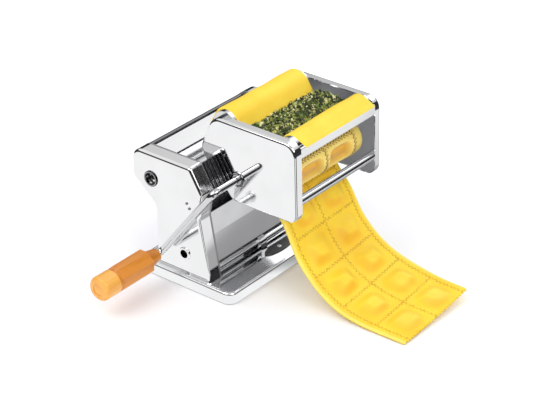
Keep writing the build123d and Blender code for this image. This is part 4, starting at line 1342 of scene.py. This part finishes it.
# ------------------------------------------------------------------ studio
@dataclass
class Studio:
    """Camera at the photograph's angle, pale floor and soft light."""

    focal_pixels: float = 1915.0
    frame_pixels: float = 537.0
    sensor: float = 36.0
    azimuth: float = 38.3
    elevation: float = 29.35
    eye: tuple[float, float, float] = (1053.1, -1294.8, 988.4)
    floor_half: float = 6.0
    card_centre: Point = (0.11, -0.06)
    table_edge: Point = (0.5, 0.62)
    table_front: Point = (-0.5, -0.4)
    aim: tuple[float, float, float] = (0.04, 0.0, 0.08)
    cards: tuple[Point, ...] = (
        (-180.0, 1.0),
        (-76.0, 1.0),
        (-66.0, 0.04),
        (-52.0, 0.04),
        (-44.0, 0.95),
        (-13.0, 0.9),
        (-6.0, 0.03),
        (22.0, 0.05),
        (32.0, 0.92),
        (62.0, 0.9),
        (72.0, 0.42),
        (120.0, 0.42),
        (140.0, 1.0),
    )
    bands: tuple[Point, ...] = (
        (0.0, 0.03),
        (0.38, 0.03),
        (0.44, 0.70),
        (0.52, 0.78),
        (0.60, 1.0),
        (0.80, 0.95),
        (0.86, 0.3),
        (0.92, 0.35),
        (0.97, 0.95),
    )

    def camera(self) -> None:
        """Places the camera."""
        data = bpy.data.cameras.new("camera")
        data.sensor_width = self.sensor
        data.lens = self.focal_pixels * self.sensor / self.frame_pixels
        data.clip_end = 50.0
        made = bpy.data.objects.new("camera", data)
        bpy.context.scene.collection.objects.link(made)
        tilt = Matrix.Rotation(math.radians(90 - self.elevation), 4, "X")
        made.matrix_world = Matrix.Rotation(math.radians(self.azimuth), 4, "Z") @ tilt
        made.location = Vector(self.eye) * MM
        bpy.context.scene.camera = made

    def floor(self) -> None:
        """Lays the floor."""
        reach = self.floor_half / MM
        corners = np.array([(-reach, -reach, 0), (reach, -reach, 0), (reach, reach, 0), (-reach, reach, 0)])
        made = mesh_piece("floor", corners, [(0, 1, 2, 3)])
        paper = bpy.data.materials.new("white_paper")
        shader = Shader(paper)
        rays = shader.node("ShaderNodeLightPath", output="Is Glossy Ray")
        sheet = shader.node("ShaderNodeBsdfDiffuse", inputs={"Color": (0.97, 0.97, 0.97)})
        card = self._floor_card(shader)
        mirrored = shader.node("ShaderNodeEmission", inputs={"Color": card, "Strength": 1.0})
        shader.finish(shader.node("ShaderNodeMixShader", inputs={0: rays, 1: sheet, 2: mirrored}))
        dress(made, paper)

    def _floor_card(self, shader: Shader) -> Wire:
        """What polished steel sees of the floor: a white table with dark cards round it.

        Args:
            shader: the floor's shader.

        Returns:
            The mirrored colour.
        """
        x, y = shader.axis("X"), shader.axis("Y")
        bearing = (y - self.card_centre[1]).bearing(x - self.card_centre[0])
        stops = tuple(((angle + 180) / 360, level) for angle, level in self.cards)
        cards = shader.node("ShaderNodeValToRGB", {"stops": stops}, {"Fac": bearing})
        outside = (x * x + y * y).root().step(*self.table_edge)
        edge = outside + (1 - outside) * y.step(*self.table_front, 1.0, 0.0)
        return shader.blend(edge, cards, (0.04, 0.04, 0.045))

    def world(self) -> None:
        """Lights the world white, with dark bands that only polished steel sees."""
        world = bpy.data.worlds.new("studio")
        bpy.context.scene.world = world
        shader = Shader(world)
        rays = shader.node("ShaderNodeLightPath", output="Is Glossy Ray")
        direction = shader.node("ShaderNodeTexCoord", output="Generated")
        height = shader.node("ShaderNodeSeparateXYZ", inputs={"Vector": direction}, output="Z")
        bands = shader.node("ShaderNodeValToRGB", {"stops": self.bands}, {"Fac": height})
        colour = shader.blend(rays, (0.95, 0.96, 1.0), bands)
        glow = shader.node("ShaderNodeBackground", inputs={"Color": colour, "Strength": 0.95})
        shader.finish(glow, "ShaderNodeOutputWorld")

    def lamps(self) -> None:
        """Hangs the soft lamps."""
        plan = {
            "key_lamp": ((-0.5, -1.3, 1.7), 1.2, 13.0),
            "fill_lamp": ((1.5, -0.4, 1.3), 1.0, 7.0),
            "back_lamp": ((0.1, 1.4, 1.5), 1.2, 5.0),
        }
        for name, (place, size, power) in plan.items():
            data = bpy.data.lights.new(name, "AREA")
            data.size = size
            data.energy = power
            made = bpy.data.objects.new(name, data)
            bpy.context.scene.collection.objects.link(made)
            turn = (Vector(self.aim) - Vector(place)).to_track_quat("-Z", "Y")
            made.matrix_world = Matrix.Translation(place) @ turn.to_matrix().to_4x4()

    def build(self) -> None:
        """Sets the whole studio up."""
        self.camera()
        self.floor()
        self.world()
        self.lamps()
        bpy.context.scene.view_settings.view_transform = "Standard"
        log.info("studio set")


def centre_of(name: str) -> Point:
    """X and Z of the middle of a model node, in millimetres."""
    low, high = node_span(name)
    return (low[0] + high[0]) / 2, (low[2] + high[2]) / 2


def finishes() -> dict[str, bpy.types.Material]:
    """Every finish of the object, by name."""
    low, high = node_span("near_rail")
    rib = (high[1] - low[1]) / RAIL_RIBS
    # the band before this X is painted as a dark reflection
    lip = node_span("dough_guide")[0][0] + LIP_DEPTH
    collar = (0.4, 0.4, 0.41)
    recipes: dict[str, Any] = {
        "mirror_steel": PolishedSheet(),
        "rod_steel": PolishedSheet((0.70, 0.705, 0.71), 0.09, 0.02, buff=0.0),
        "panel_steel": PolishedSheet((0.72, 0.725, 0.735), 0.12, 0.05),
        "lipped_guide": LippedSheet((0.88, 0.885, 0.89), 0.12, lip=lip),
        "crank_collar": RingedCollar(collar, centre=centre_of("crank_bushing"), grooves=(5.7, 7.3)),
        "hole_collar": RingedCollar(collar, centre=centre_of("crank_hole_ring"), grooves=(6.4, 8.0)),
        "rivet_steel": TurnedSteel((0.22, 0.22, 0.23), 0.25),
        "plate_steel": BrushedPlate(),
        "bar_steel": TurnedSteel((0.80, 0.81, 0.82), 0.12),
        "roller_steel": TurnedSteel((0.70, 0.705, 0.71), 0.16),
        "brass_bush": TurnedSteel((0.72, 0.53, 0.24), 0.22),
        "grey_moulding": MouldedPlastic((0.16, 0.16, 0.17)),
        "black_moulding": MouldedPlastic((0.03, 0.03, 0.034), 0.3),
        "ribbed_rail": RibbedRail(low[1], rib),
        "orange_lacquer": Lacquer((0.70, 0.25, 0.012), (0.50, 0.145, 0.006)),
        "amber_lacquer": Lacquer((0.86, 0.43, 0.07), (0.78, 0.32, 0.04)),
        "cream_moulding": CreamMoulding(),
        "sheet_dough": EggDough((0.93, 0.66, 0.045), (0.86, 0.54, 0.015)),
        "strip_dough": EggDough((0.96, 0.67, 0.025), (0.86, 0.46, 0.002)),
        "herbs": HerbMix(
            (
                # near-black: the painted shade of the heap between the flakes, and the darkest leaves
                (0.0, (0.006, 0.010, 0.003)),
                (0.26, (0.035, 0.060, 0.008)),
                (0.46, (0.11, 0.16, 0.02)),
                (0.64, (0.28, 0.33, 0.05)),
                (0.78, (0.66, 0.64, 0.20)),
                (0.91, (0.92, 0.87, 0.50)),
            )
        ),
    }
    return {name: painted(name, recipe) for name, recipe in recipes.items()}


def main() -> None:
    """Builds every sub-assembly in order."""
    logging.basicConfig(level=logging.INFO, format="%(name)s: %(message)s")
    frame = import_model()
    Studio().build()
    made = finishes()
    for assembly in (Machine(), Attachment(), Crank()):
        assembly.dress(frame["nodes"], made)

    rear = joint_place(frame, "rear_mould_spin")
    front = joint_place(frame, "front_mould_spin")
    tilt = math.atan2(front[1] - rear[1], front[0] - rear[0])
    nip = ((rear[0] + front[0]) / 2, (rear[1] + front[1]) / 2)
    front_ridge = 45.0
    rear_ridge = 180.0 + 2 * math.degrees(tilt) - front_ridge
    moulds = (
        MouldRoller("front_mould", "front_mould", "front_mould_roller", front, front_ridge),
        MouldRoller("rear_mould", "rear_mould", "rear_mould_roller", rear, rear_ridge, around_steps=216),
    )
    for mould in moulds:
        mould.build(made["cream_moulding"])

    rise = 12.0
    half_gap = 1.05
    overhang = (52.3, 46.9)
    meet = (nip[0] - rise * math.sin(tilt), nip[1] + rise * math.cos(tilt))
    lean = (half_gap * math.cos(tilt), half_gap * math.sin(tilt))
    rear_start = (meet[0] - lean[0], meet[1] - lean[1])
    front_start = (meet[0] + lean[0], meet[1] + lean[1])
    front_end = (nip[0] + overhang[0], nip[1] + overhang[1])
    sheets = (
        DrapedDough("rear_dough", "rear_dough_sheet", "rear_guide_bar", rear_start, 1, leave=150.0),
        DrapedDough("front_dough", "front_dough_sheet", "front_guide_bar", front_start, -1, front_end),
    )
    for sheet in sheets:
        sheet.build(made["sheet_dough"])
    Filling().build(made["herbs"])
    RavioliStrip(nip, tilt).build(made["strip_dough"])


if __name__ == "__main__":
    main()
